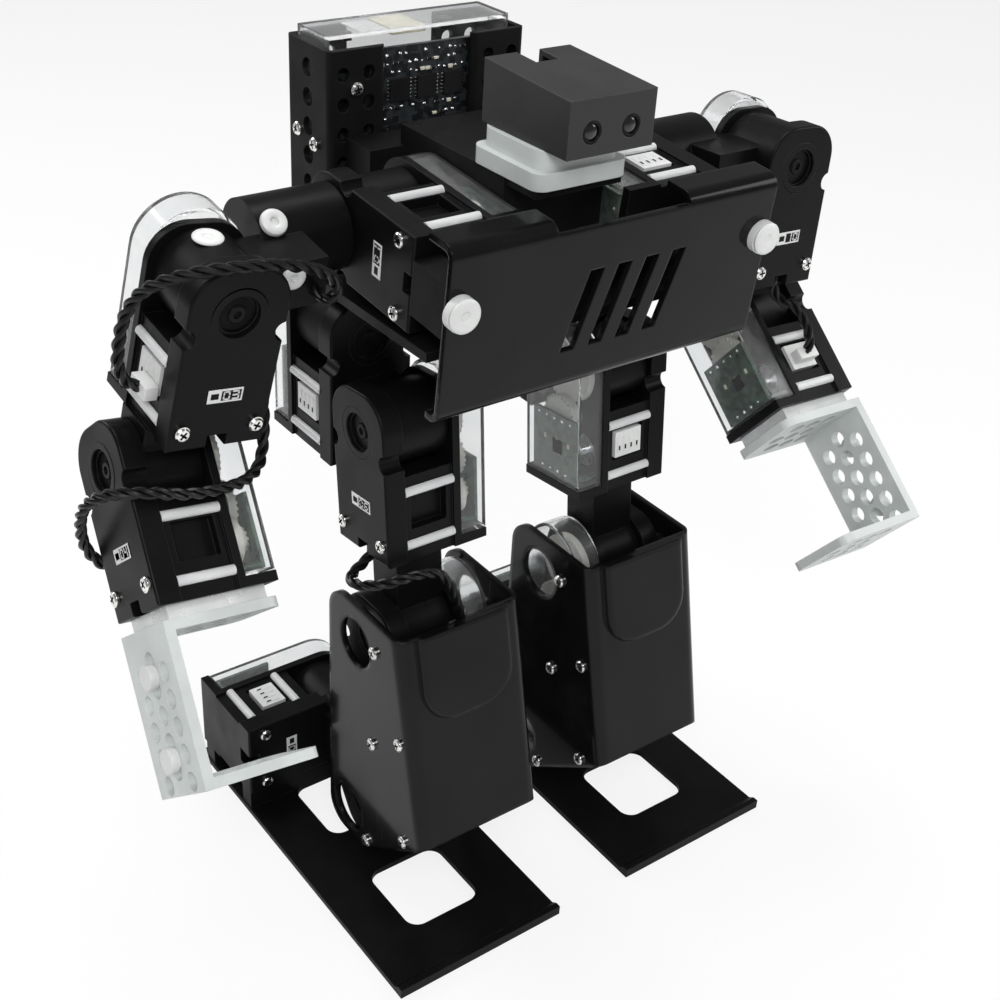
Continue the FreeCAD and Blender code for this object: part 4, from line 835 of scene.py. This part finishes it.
def add_socket_rows(bm):
    """The ways of a module's socket, each with its slot as a thin block of painted shade."""
    for way in range(WAYS):
        middle = SOCKET_MIDDLE + (way - (WAYS - 1) / 2) * WAY_PITCH
        add_box(
            bm, (SOCKET_FACE - WAY_RISE, middle - WAY_HALF, SOCKET_LOW),
            (SOCKET_FACE, middle + WAY_HALF, SOCKET_HIGH), bevel=0.1,
        )
        # Each slot is a thin near-black block just proud of its way: painted shade for the slot's
        # opening.
        add_box(
            bm, (SOCKET_FACE - SLOT_RISE, middle - SLOT_HALF, SOCKET_LOW + SLOT_LOW),
            (SOCKET_FACE - SLOT_SINK, middle + SLOT_HALF, SOCKET_LOW + SLOT_HIGH), index=1,
        )


def add_collar(bm):
    """A ring round a module's shaft hole."""
    add_lathe(bm, (
        (COLLAR_INNER, COLLAR_BACK), (COLLAR_INNER, 0.2), (COLLAR_INNER + 0.25, 0.02),
        (COLLAR_OUTER, 0.02), (COLLAR_OUTER, COLLAR_BACK), (COLLAR_INNER, COLLAR_BACK),
    ), (0, 0), 48)


def add_cap(bm):
    """A near-black disc of painted shade in the shaft hole, and a small ring on the face of a stub.
    """
    add_lathe(bm, disc(CAP_RADIUS, STUB_FACE - 0.08, STUB_FACE + 0.02), (0, 0), 32)
    add_lathe(bm, (
        (1.2, STUB_FACE - 0.05), (1.2, STUB_FACE - 0.75), (2.2, STUB_FACE - 0.75),
        (2.5, STUB_FACE - 0.5), (2.5, STUB_FACE - 0.05), (1.2, STUB_FACE - 0.05),
    ), (0, 0), 32, 1)


def dress_module(name, body, place, number):
    """Everything that a servo module shows beyond its solids, gears and board."""
    heads, label, digits, rows = (bmesh.new() for _ in range(4))
    for side in (-1, 1):
        turn = 0.4 + 0.9 * side + number
        add_cross_head(heads, side * SCREW_ACROSS, -SCREW_DROP, turn=turn)
    piece(f"{name}_screw_heads", body, heads, (NICKEL, PAINTED_RECESS_SHADE), place)
    add_label(label)
    piece(f"{name}_label", body, label, (WHITE, MATTE), place, smooth=False)
    add_digits(digits, f"{number:02d}")
    piece(f"{name}_digits", body, digits, WHITE, place, smooth=False)
    add_socket_rows(rows)
    piece(f"{name}_socket_rows", body, rows, (WHITE, PAINTED_RECESS_SHADE), place)
    other = stub_body(place, body)
    if other:
        collar, cap = bmesh.new(), bmesh.new()
        add_collar(collar)
        piece(f"{name}_shaft_collar", body, collar, SATIN, place)
        add_cap(cap)
        piece(f"{name}_shaft_cap", other, cap, (PAINTED_RECESS_SHADE, SATIN), place)


# The nodes that hold servo drives, with the modules in each.
MODULE_NODES = [("shoulder_servo_drives", ("right_shoulder_servo", "left_shoulder_servo"))]
for side in SIDES:
    MODULE_NODES += [
        (f"{side}_upper_arm_drive", (f"{side}_upper_arm",)),
        (f"{side}_forearm_drive", (f"{side}_forearm",)),
        (f"{side}_hip_gearbox", (f"{side}_hip",)),
        (f"{side}_thigh_drive", (f"{side}_thigh",)),
        (f"{side}_shin_servo_drives", (f"{side}_knee", f"{side}_ankle")),
        (f"{side}_foot_servo_drive", (f"{side}_foot",)),
    ]

# Each module's body and frame. Two modules of one node are told apart by their place: the
# shoulders' from right to left, the shins' from the upper to the lower.
MODULES = {}
for node, names in MODULE_NODES:
    places = drive_modules(node)
    if len(names) == 2:
        axis = 0 if node.startswith("shoulder") else 2
        places.sort(key=lambda place: place.translation[axis], reverse=axis == 2)
    for name, place in zip(names, places):
        MODULES[name] = (body_of_node(node), place)

for number, (name, (body, place)) in enumerate(MODULES.items(), 1):
    dress_module(name, body, place, number)


def in_module(corners, place):
    """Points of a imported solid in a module's own frame, with their lowest and highest corners."""
    inverse = np.array(place.inverted())
    points = corners * MM @ inverse[:3, :3].T + inverse[:3, 3]
    return points, points.min(0), points.max(0)


# -------- Gears

GEAR_NODES = [node for node, _ in MODULE_NODES] + ["torso_frame"]
for side in SIDES:
    GEAR_NODES += [f"{side}_{name}" for name in ("shoulder_block", "ankle_block")]
TOOTH_DEPTH = 0.9
TOOTH_RISE = 0.12
TOOTH_PITCH = 1.9
# How far the rims stand off the gears.
RIM = {"train": 0.45, "output": 0.2}
# Where a module's gears and board lie in its own frame: across, up, and the reach of their rear.
GEAR_ACROSS = 12
GEAR_UP = (-30, 4)
BOARD_ACROSS = 3
BOARD_UP = (-45, -10)
REAR = (20, 42)


def lies_in(low, high, across, heights):
    """Whether a solid of a module's own frame is where its gears or its board are."""
    middle = (low + high) / 2
    least, most = heights
    return abs(middle[0]) <= across and least < middle[2] < most and REAR[0] < high[1] < REAR[1]


def add_gear_face(bm, centre, face, radius, rim):
    """A toothed rim and a hub on a gear's rear face."""
    teeth = round(math.tau * radius / TOOTH_PITCH)
    tooth = (0.0, -TOOTH_DEPTH), (0.3, -TOOTH_DEPTH), (0.42, TOOTH_RISE), (0.88, TOOTH_RISE)
    rings = []
    for y in (face - 0.02, face + rim):
        ring = []
        for step in range(teeth):
            for share, reach in tooth:
                angle = math.tau * (step + share) / teeth
                x = centre[0] + (radius + reach) * math.cos(angle)
                z = centre[1] + (radius + reach) * math.sin(angle)
                ring.append(bm.verts.new((x, y, z)))
        rings.append(ring)
    add_walls(bm, *rings)
    bm.faces.new(rings[1])
    bm.faces.new(list(reversed(rings[0])))
    root, hub = face + rim - 0.05, 0.3 * radius + 1.0
    add_lathe(bm, disc(1.0, face + rim + 0.35, root), centre, 16, 1)
    add_lathe(bm, (
        (1.3, root), (1.3, face + rim + 0.2), (hub, face + rim + 0.2), (hub, root), (1.3, root),
    ), centre, 24)


gears = [
    (node, kind_of(solid), solid["points"])
    for node in GEAR_NODES for solid in islands(node)
    if kind_of(solid) in RIM and solid["reach"] < GEAR_REACH
]
for name, (_, place) in MODULES.items():
    number = 0
    for node, kind, corners in gears:
        points, low, high = in_module(corners, place)
        if not lies_in(low, high, GEAR_ACROSS, GEAR_UP):
            continue
        rear = points[points[:, 1] > high[1] - 0.2]
        least, most = rear.min(0), rear.max(0)
        centre = (most[0] + least[0]) / 2, (most[2] + least[2]) / 2
        number += 1
        bm = bmesh.new()
        add_gear_face(bm, centre, high[1], (most[0] - least[0]) / 2, RIM[kind])
        piece(f"{name}_gear_{number}", body_of_node(node), bm, (GEAR, STEEL), place)


# -------- Servo boards

SERVO_CHIP_HALF = 2.4
SERVO_CHIP_ASIDE = 2
SERVO_DOTS = 9
DOT_MARGIN = 3
DOT_INSET = 1.6
draw = random.Random(3)


def add_board_parts(bm, low, high):
    """A chip, solder points along both long edges and small parts on a servo's board."""
    middle = (low + high) / 2
    face, x, z = high[1], middle[0] - SERVO_CHIP_ASIDE, middle[2]
    half = SERVO_CHIP_HALF
    add_box(bm, (x - half, face - 0.02, z - half), (x + half, face + 0.5, z + half), 0, 0.1)
    step = (high[0] - low[0] - 2 * DOT_MARGIN) / (SERVO_DOTS - 1)
    for number in range(SERVO_DOTS):
        at = low[0] + DOT_MARGIN + number * step
        up = (low[2] + DOT_INSET) if number % 2 else (high[2] - DOT_INSET)
        radius = draw.uniform(0.4, 0.7)
        add_lathe(bm, (
            (0, face + 0.6 * radius), (0.5 * radius, face + 0.5 * radius), (radius, face - 0.02),
            (0, face - 0.02),
        ), (at, up), 10, 1)
        if number % 3 == 0:
            add_box(bm, (at, face - 0.02, z + 1.0), (at + 0.9, face + 0.4, z + 2.6), 2, 0.08)


boards = [
    solid["points"]
    for node, _ in MODULE_NODES for solid in islands(node) if kind_of(solid) == "board"
]
for name, (body, place) in MODULES.items():
    for corners in boards:
        _, low, high = in_module(corners, place)
        if lies_in(low, high, BOARD_ACROSS, BOARD_UP):
            parts = bmesh.new()
            add_board_parts(parts, low, high)
            piece(f"{name}_board_parts", body, parts, (CHIP, TIN, CREAM), place)


# -------- Leads

# Three twisted strands that touch each other inside the lead's diameter, in millimetres.
LEAD_DIAMETER = 3.6
STRAND_RADIUS = 0.835
STRAND_OFFSET = LEAD_DIAMETER / 2 - STRAND_RADIUS
STRANDS = 3
STRAND_SIDES = 8
STRAND_TURN = 14.0
PLUG_HALF = 4.3
PLUG_HALF_HIGH = 2.1
PLUG_LENGTH = 4.2
# A lead that ends this far across its module is at a side socket. The others end under a case.
PLUG_ACROSS = (5, 15)

# Each lead's length, the two bodies it joins, the numbers of the points where the bend between them
# starts and ends, and its route: points in the own frames of the modules that it passes.
LEADS = {
    "right_shoulder_lead": (114.6, ("right_shoulder", "right_upper_arm"), (1, 9), (
        ("right_upper_arm", (
            (26, 7.3, 2), (26, 1.5, 2), (26.5, -2.5, 6), (23, -4.5, 12.5), (13, -5.2, 17),
            (1, -5, 17.8), (-10.5, -3.5, 16.8), (-19, 1.5, 12.5), (-24, 9, 5), (-25.5, 13, -4.5),
            (-25.3, 13.8, -14.5), (-24.6, 13.6, -20.5), (-22, 13.5, -25), (-18, 13.5, -27),
            (-14, 13.5, -27),
        )),
    )),
    "right_elbow_lead": (143.7, ("right_upper_arm", "right_forearm"), (4, 14), (
        ("right_upper_arm", (
            (10.3, 15.75, -24.5), (14.5, 15.75, -24.5), (18.2, 14, -28), (19.5, 11, -33.5),
            (19.8, 8.5, -40), (20.3, 7.3, -47), (18, 3.3, -51.5), (11.5, -1.5, -52.3),
        )),
        ("right_forearm", (
            (20.5, 25, -13.8), (20.8, 14, -14), (19.5, 3, -11.5), (12, -5.5, -8.5),
            (1, -7.5, -8.5), (-9, -6, -12), (-16.8, -3, -18), (-20, 2.5, -23.3),
            (-20.4, 8, -25.3), (-19.8, 12.8, -25.6), (-17.4, 15.75, -25.5), (-14, 15.75, -25.5),
        )),
    )),
    "left_elbow_lead": (36.9, ("left_upper_arm", "left_forearm"), (1, 5), (
        ("left_upper_arm", ((0, 3.5, -36.5), (0, 3.5, -42), (1.5, -0.5, -46.5))),
        ("left_forearm", (
            (-24.2, 18.5, -9), (-23.6, 16.3, -15.5), (-21.8, 15.75, -21.3), (-18, 15.75, -25),
            (-14, 15.75, -25),
        )),
    )),
    "right_knee_lead": (116.1, ("right_thigh", "right_shin"), (5, 12), (
        ("right_thigh", (
            (0, 3.5, -36.5), (0, 3.5, -40), (0, 1.5, -43.3), (0.7, -3, -45), (5, -8.8, -45),
            (12.5, -9.5, -43.8), (19, -3, -42.3), (20.8, 7, -41), (20.8, 16.5, -44.5),
        )),
        ("right_knee", (
            (19.3, 22, 13.5), (19.5, 22, 2.5), (19.3, 19, -8), (18.5, 16.5, -17),
            (18.2, 15.9, -21.5), (14.6, 15.75, -25), (10.3, 15.75, -25),
        )),
    )),
}


def smooth_line(points):
    """The line of a NURBS spline that has these control points, as points along it."""
    data = bpy.data.curves.new("route", "CURVE")
    data.dimensions = "3D"
    data.resolution_u = 10
    spline = data.splines.new("NURBS")
    spline.points.add(len(points) - 1)
    for control, place in zip(spline.points, points):
        control.co = (*place, 1)
    spline.order_u = 3
    spline.use_endpoint_u = True
    thing = bpy.data.objects.new("route", data)
    line = bpy.data.meshes.new_from_object(thing)
    found = [vertex.co.copy() for vertex in line.vertices]
    bpy.data.objects.remove(thing)
    bpy.data.curves.remove(data)
    bpy.data.meshes.remove(line)
    return found


def stations(line):
    """Each point of a line, two directions across it that turn as little as may be, and the run."""
    found = []
    run = 0.0
    across = None
    for number, place in enumerate(line):
        before, after = line[max(number - 1, 0)], line[min(number + 1, len(line) - 1)]
        along = (after - before).normalized()
        if across is None:
            across = along.orthogonal().normalized()
        else:
            run += (place - line[number - 1]).length
            across = (across - along * across.dot(along)).normalized()
        found.append((place, across.copy(), along.cross(across), run))
    return found


def add_strand(bm, found, phase):
    """A round strand that winds about a line, closed at both ends."""
    offset, radius, turn = STRAND_OFFSET * MM, STRAND_RADIUS * MM, STRAND_TURN * MM
    rings = []
    for place, first, second, run in found:
        angle = phase + math.tau * run / turn
        middle = place + (first * math.cos(angle) + second * math.sin(angle)) * offset
        ring = []
        for step in range(STRAND_SIDES):
            angle = math.tau * step / STRAND_SIDES
            outward = first * math.cos(angle) + second * math.sin(angle)
            ring.append(bm.verts.new(middle + outward * radius))
        rings.append(ring)
    for low, high in zip(rings, rings[1:]):
        add_walls(bm, low, high)
    bm.faces.new(list(reversed(rings[0])))
    bm.faces.new(rings[-1])


def twisted_lead(name, line):
    """A lead of twisted strands along a line."""
    bm = bmesh.new()
    found = stations(line)
    for strand in range(STRANDS):
        add_strand(bm, found, math.tau * strand / STRANDS)
    lead = piece(name, None, bm, LEAD, IN_PLACE)
    return lead


def add_plug(name, body, place, end, side):
    """The plug at a lead's end, which stands off its socket."""
    across, inward, up = end
    bm = bmesh.new()
    near, far = sorted((across + side * 0.15, across + side * PLUG_LENGTH))
    add_box(
        bm, (near, inward - PLUG_HALF, up - PLUG_HALF_HIGH),
        (far, inward + PLUG_HALF, up + PLUG_HALF_HIGH), 0, 0.35,
    )
    return piece(f"{name}_plug", body, bm, WHITE, place)


for name, (length, (near_body, far_body), (bend_start, bend_end), route) in LEADS.items():
    points = [MODULES[module][1] @ Vector(point) for module, local in route for point in local]
    line = smooth_line(points)
    lead = twisted_lead(f"{name}_strands", line)
    ends = ("start", route[0][0], route[0][1][0]), ("end", route[-1][0], route[-1][1][-1])
    for where, module, end in ends:
        if PLUG_ACROSS[0] < abs(end[0]) < PLUG_ACROSS[1]:
            plug_body, place = MODULES[module]
            side = math.copysign(1, end[0])
            add_plug(f"{name}_{where}", plug_body, place, end, side)
    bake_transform(lead)
    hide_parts(name)


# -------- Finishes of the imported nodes

for node in NODES:
    if node.endswith(("rear_case", "rear_cases")) or node == "controller_case":
        paint(node, CLEAR)
    elif node.endswith(("case", "cases")):
        paint(node, SATIN)
for node, finish in (
    ("head_case", HEAD), ("head_riser", GREY), ("head_sensors", GLOSS), ("chest_plate", GLOSS),
    ("chest_rivets", WHITE), ("controller_plates", MATTE), ("controller_board", BOARD),
):
    paint(node, finish)
for side in SIDES:
    paint(f"{side}_shin_shell", SHELL)
    paint(f"{side}_foot_plate", SATIN)
    hand = islands(f"{side}_hand")
    hand.sort(key=lambda solid: solid["volume"], reverse=True)
    paint_solids(f"{side}_hand", hand, [GREY, CLOUDY, WHITE, WHITE])


def paint_with_gears(node, finish):
    """Gives the output gears among a node's solids the gears' finish and the rest another."""
    solids = islands(node)
    is_gear = [kind_of(solid) == "output" and solid["reach"] < GEAR_REACH for solid in solids]
    paint_solids(node, solids, [GEAR if found else finish for found in is_gear])


paint_with_gears("torso_frame", MATTE)
for side in SIDES:
    paint_with_gears(f"{side}_shoulder_block", SATIN)
    paint_with_gears(f"{side}_ankle_block", SATIN)


# -------- Small parts

def facing(place, outward):
    """A local frame in millimetres at a place, whose Y points against an outward direction."""
    inward = -Vector(outward).normalized()
    across = inward.cross(Vector((0, 0, 1))).normalized()
    turn = Matrix((across, inward, across.cross(inward))).transposed().to_4x4()
    return Matrix.Translation(Vector(place) * MM) @ turn @ TO_METRES


# How deep a shell screw's head sits, and the volumes of the two kinds of shell screw.
SHELL_SCREW_HEAD = 0.9
SHELL_SCREWS = (25, 45), (57, 80)
for side in SIDES:
    low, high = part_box(f"{side}_shin_shell")
    middle = (low.x + high.x) / 2 / MM
    heads = bmesh.new()
    for number, solid in enumerate(islands(f"{side}_shin_servo_drives")):
        if any(least < solid["volume"] < most for least, most in SHELL_SCREWS):
            x, y, z = solid["centre"]
            outward = 1 if x > middle else -1
            ends = solid["points"][:, 0]
            face = (ends.max() if outward > 0 else ends.min()) - outward * SHELL_SCREW_HEAD
            place = facing((face, y, z), (outward, 0, 0))
            add_cross_head(heads, 0, 0, turn=0.7 * number, place=place)
    piece(f"{side}_shell_screw_heads", f"{side}_shin", heads, (NICKEL, PAINTED_RECESS_SHADE), IN_PLACE)


# A rivet head's outline, as shares of its radius and of its rise.
RIVET = (
    (0, 0.35), (0.26, 0.35), (0.32, 0.8), (0.45, 1), (0.75, 1), (0.93, 0.75), (1, 0.35),
)
CHEST_RIVET_RADIUS = 4.9
EYE_DEPTH = 0.6


def add_rivet(bm, radius, place, rise=1.0):
    """A flat rivet head with a soft rim and a shallow hollow in its middle."""
    outline = [(across * radius, -up * rise) for across, up in RIVET]
    add_lathe(bm, outline + [(radius, 0.02), (0, 0.02)], (0, 0), 32, 0, place)


rivets = bmesh.new()
for solid in islands("chest_rivets"):
    x, y, z = solid["centre"]
    place = facing((x, solid["points"][:, 1].min(), z), (0, -1, 0))
    add_rivet(rivets, CHEST_RIVET_RADIUS, place)
piece("chest_rivet_heads", body_of_node("chest_rivets"), rivets, WHITE, IN_PLACE)

eyes = islands("head_sensors")[0]["points"]
eye_face = eyes[:, 1].min()
front = eyes[eyes[:, 1] < eye_face + EYE_DEPTH]
head_middle = (front[:, 0].min() + front[:, 0].max()) / 2
bezels, lenses = bmesh.new(), bmesh.new()
for group in (front[front[:, 0] < head_middle], front[front[:, 0] > head_middle]):
    x, _, z = (group.min(0) + group.max(0)) / 2
    place = facing((x, eye_face, z), (0, -1, 0))
    add_lathe(bezels, (
        (2.3, 0.1), (2.3, -0.2), (2.5, -0.55), (2.9, -0.62), (3.15, -0.45), (3.15, 0.1), (2.3, 0.1),
    ), (0, 0), 40, 0, place)
    add_lathe(lenses, (
        (0, -0.5), (0.8, -0.46), (1.5, -0.33), (2.0, -0.15), (2.3, 0.05), (0, 0.05),
    ), (0, 0), 40, 0, place)
piece("eye_bezels", body_of_node("head_sensors"), bezels, SATIN, IN_PLACE)
piece("eye_lenses", body_of_node("head_sensors"), lenses, LENS, IN_PLACE)


# White rivets on the right shoulder block: share of its box, outward direction, radius and rise.
SHOULDER_RIVETS = (
    ((0.388, 0.488, 0.853), (0, -0.75, 0.66), 3.9, 1.6),
    ((0.356, 0.131, 0.535), (0, -0.988, -0.156), 3.6, 1.2),
    ((0.142, 0.36, 0.923), (0.05, -0.16, 0.99), 4.2, 0.9),
)
low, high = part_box("right_shoulder_block")
rivets = bmesh.new()
for share, outward, radius, rise in SHOULDER_RIVETS:
    place = [low[axis] + share[axis] * (high[axis] - low[axis]) for axis in range(3)]
    add_rivet(rivets, radius, facing(Vector(place) / MM, outward), rise)
piece("right_shoulder_rivets", body_of_node("right_shoulder_block"), rivets, WHITE, IN_PLACE)


# -------- Controller

# The chips on the board, their pins, and where the solder points stand: from the board's left
# and bottom edges.
CHIP_SIDE = 7.0
CHIP_THICK = 1.0
PINS = 6
PIN_PITCH = 1.15
PIN_LENGTH = 0.9
PIN_HALF = 0.25
PIN_HEIGHT = 0.45
DOTS_LEFT, DOTS_RIGHT = 15.5, 48.5
DOT_ROWS = (2.6, 5.4, 8.2, 19.2, 22.4, 33.0, 36.4, 47.2, 50.0, 52.8)
DOT_PITCH = 1.9
# Of the drawn shares, those below the first are solder points and those up to the second resistors.
DOT_SHARE, PART_SHARE = 0.42, 0.62
PART_HALF = 0.8
PART_HEIGHT = 0.6

low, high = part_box("controller_board")
board = np.array([vertex.co for vertex in NODES["controller_board"].data.vertices]) / MM
chip_face = board[:, 1].min()
board_face = chip_face + CHIP_THICK
left, bottom = low.x / MM, low.z / MM
corners = {tuple(point) for point in np.round(board[board[:, 1] < chip_face + 0.1][:, (0, 2)], 1)}
columns = sorted({x for x, z in corners})[::2]
rows = sorted({z for x, z in corners})[::2]
draw = random.Random(5)
pins, dots, blocks = bmesh.new(), bmesh.new(), bmesh.new()
for x in columns:
    for z in rows:
        for number in range(PINS):
            at = z + CHIP_SIDE / 2 + (number - (PINS - 1) / 2) * PIN_PITCH
            for start in (x - PIN_LENGTH, x + CHIP_SIDE):
                add_box(
                    pins, (start, board_face - PIN_HEIGHT, at - PIN_HALF),
                    (start + PIN_LENGTH, board_face, at + PIN_HALF), 0, 0.08,
                )
for row in DOT_ROWS:
    x = left + DOTS_LEFT
    while x < left + DOTS_RIGHT:
        kind = draw.random()
        at = bottom + row + draw.uniform(-0.25, 0.25)
        if kind < DOT_SHARE:
            radius = draw.uniform(0.4, 0.75)
            add_lathe(dots, (
                (0, board_face - 0.8 * radius), (0.5 * radius, board_face - 0.7 * radius),
                (0.87 * radius, board_face - 0.4 * radius), (radius, board_face), (0, board_face),
            ), (x, at), 12)
        elif kind < PART_SHARE:
            half = draw.uniform(0.4, 0.6)
            top = board_face - PART_HEIGHT
            low, high = (x - PART_HALF, top, at - half), (x + PART_HALF, board_face, at + half)
            add_box(blocks, low, high, draw.randrange(2), 0.1)
            for end in (x - PART_HALF - 0.25, x + PART_HALF):
                add_box(dots, (end, top, at - half), (end + 0.25, board_face, at + half), 0, 0.05)
        x += DOT_PITCH + draw.uniform(0, 0.8)
board_body = body_of_node("controller_board")
piece("controller_chip_pins", board_body, pins, TIN)
piece("controller_solder", board_body, dots, TIN)
piece("controller_resistors", board_body, blocks, (CHIP, CREAM))
chip_data = NODES["controller_board"].data
chip_data.materials.append(CHIP)
for face in chip_data.polygons:
    if face.center.y / MM < board_face - 0.1:
        face.material_index = 1

# Under the clear cover's top, from its left, front and inner top: a foam pad, a paper strip and
# two dark ports, with the rounding of their edges.
COVER_TOP = 1.2
COVER_CONTENTS = (
    ("controller_pad", CREAM, 0.3, (((24, 1.5, -1.2), (36.5, 15.6, 0)),)),
    ("controller_strip", WHITE, 0.15, (((14, 2.5, -0.7), (23.4, 14.6, -0.2)),)),
    ("controller_ports", CHIP, 0.2, (
        ((44.5, 5.0, -2.5), (49.5, 9.5, -0.2)), ((9.0, 4.0, -2.0), (11.5, 6.5, -0.2)),
    )),
)
low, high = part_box("controller_case")
corner = Vector((low.x, low.y, high.z)) / MM - Vector((0, 0, COVER_TOP + 0.1))
for name, finish, bevel, blocks in COVER_CONTENTS:
    bm = bmesh.new()
    for least, most in blocks:
        add_box(bm, corner + Vector(least), corner + Vector(most), 0, bevel)
    piece(name, body_of_node("controller_case"), bm, finish)

# Cross-head screws on the plates' outer sides, from their front and top, and on their fronts,
# from their left and top.
PLATE_SIDE_SCREWS = ((8.0, 29.7), (18.0, 27.5))
PLATE_FRONT_SCREWS = ((9.5, 11.8), (62.5, 11.8), (9.5, 47.8))
low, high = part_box("controller_plates")
low, high = low / MM, high / MM
heads = bmesh.new()
for number, (back, down) in enumerate(PLATE_SIDE_SCREWS):
    for x, outward in ((low.x, -1), (high.x, 1)):
        place = facing((x, low.y + back, high.z - down), (outward, 0, 0))
        add_cross_head(heads, 0, 0, turn=0.9 * number + 0.3, place=place)
for number, (across, down) in enumerate(PLATE_FRONT_SCREWS):
    place = facing((low.x + across, low.y, high.z - down), (0, -1, 0))
    add_cross_head(heads, 0, 0, turn=0.6 * number + 0.2, place=place)
plates_body = body_of_node("controller_plates")
piece("controller_screw_heads", plates_body, heads, (NICKEL, PAINTED_RECESS_SHADE), IN_PLACE)


low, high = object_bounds()
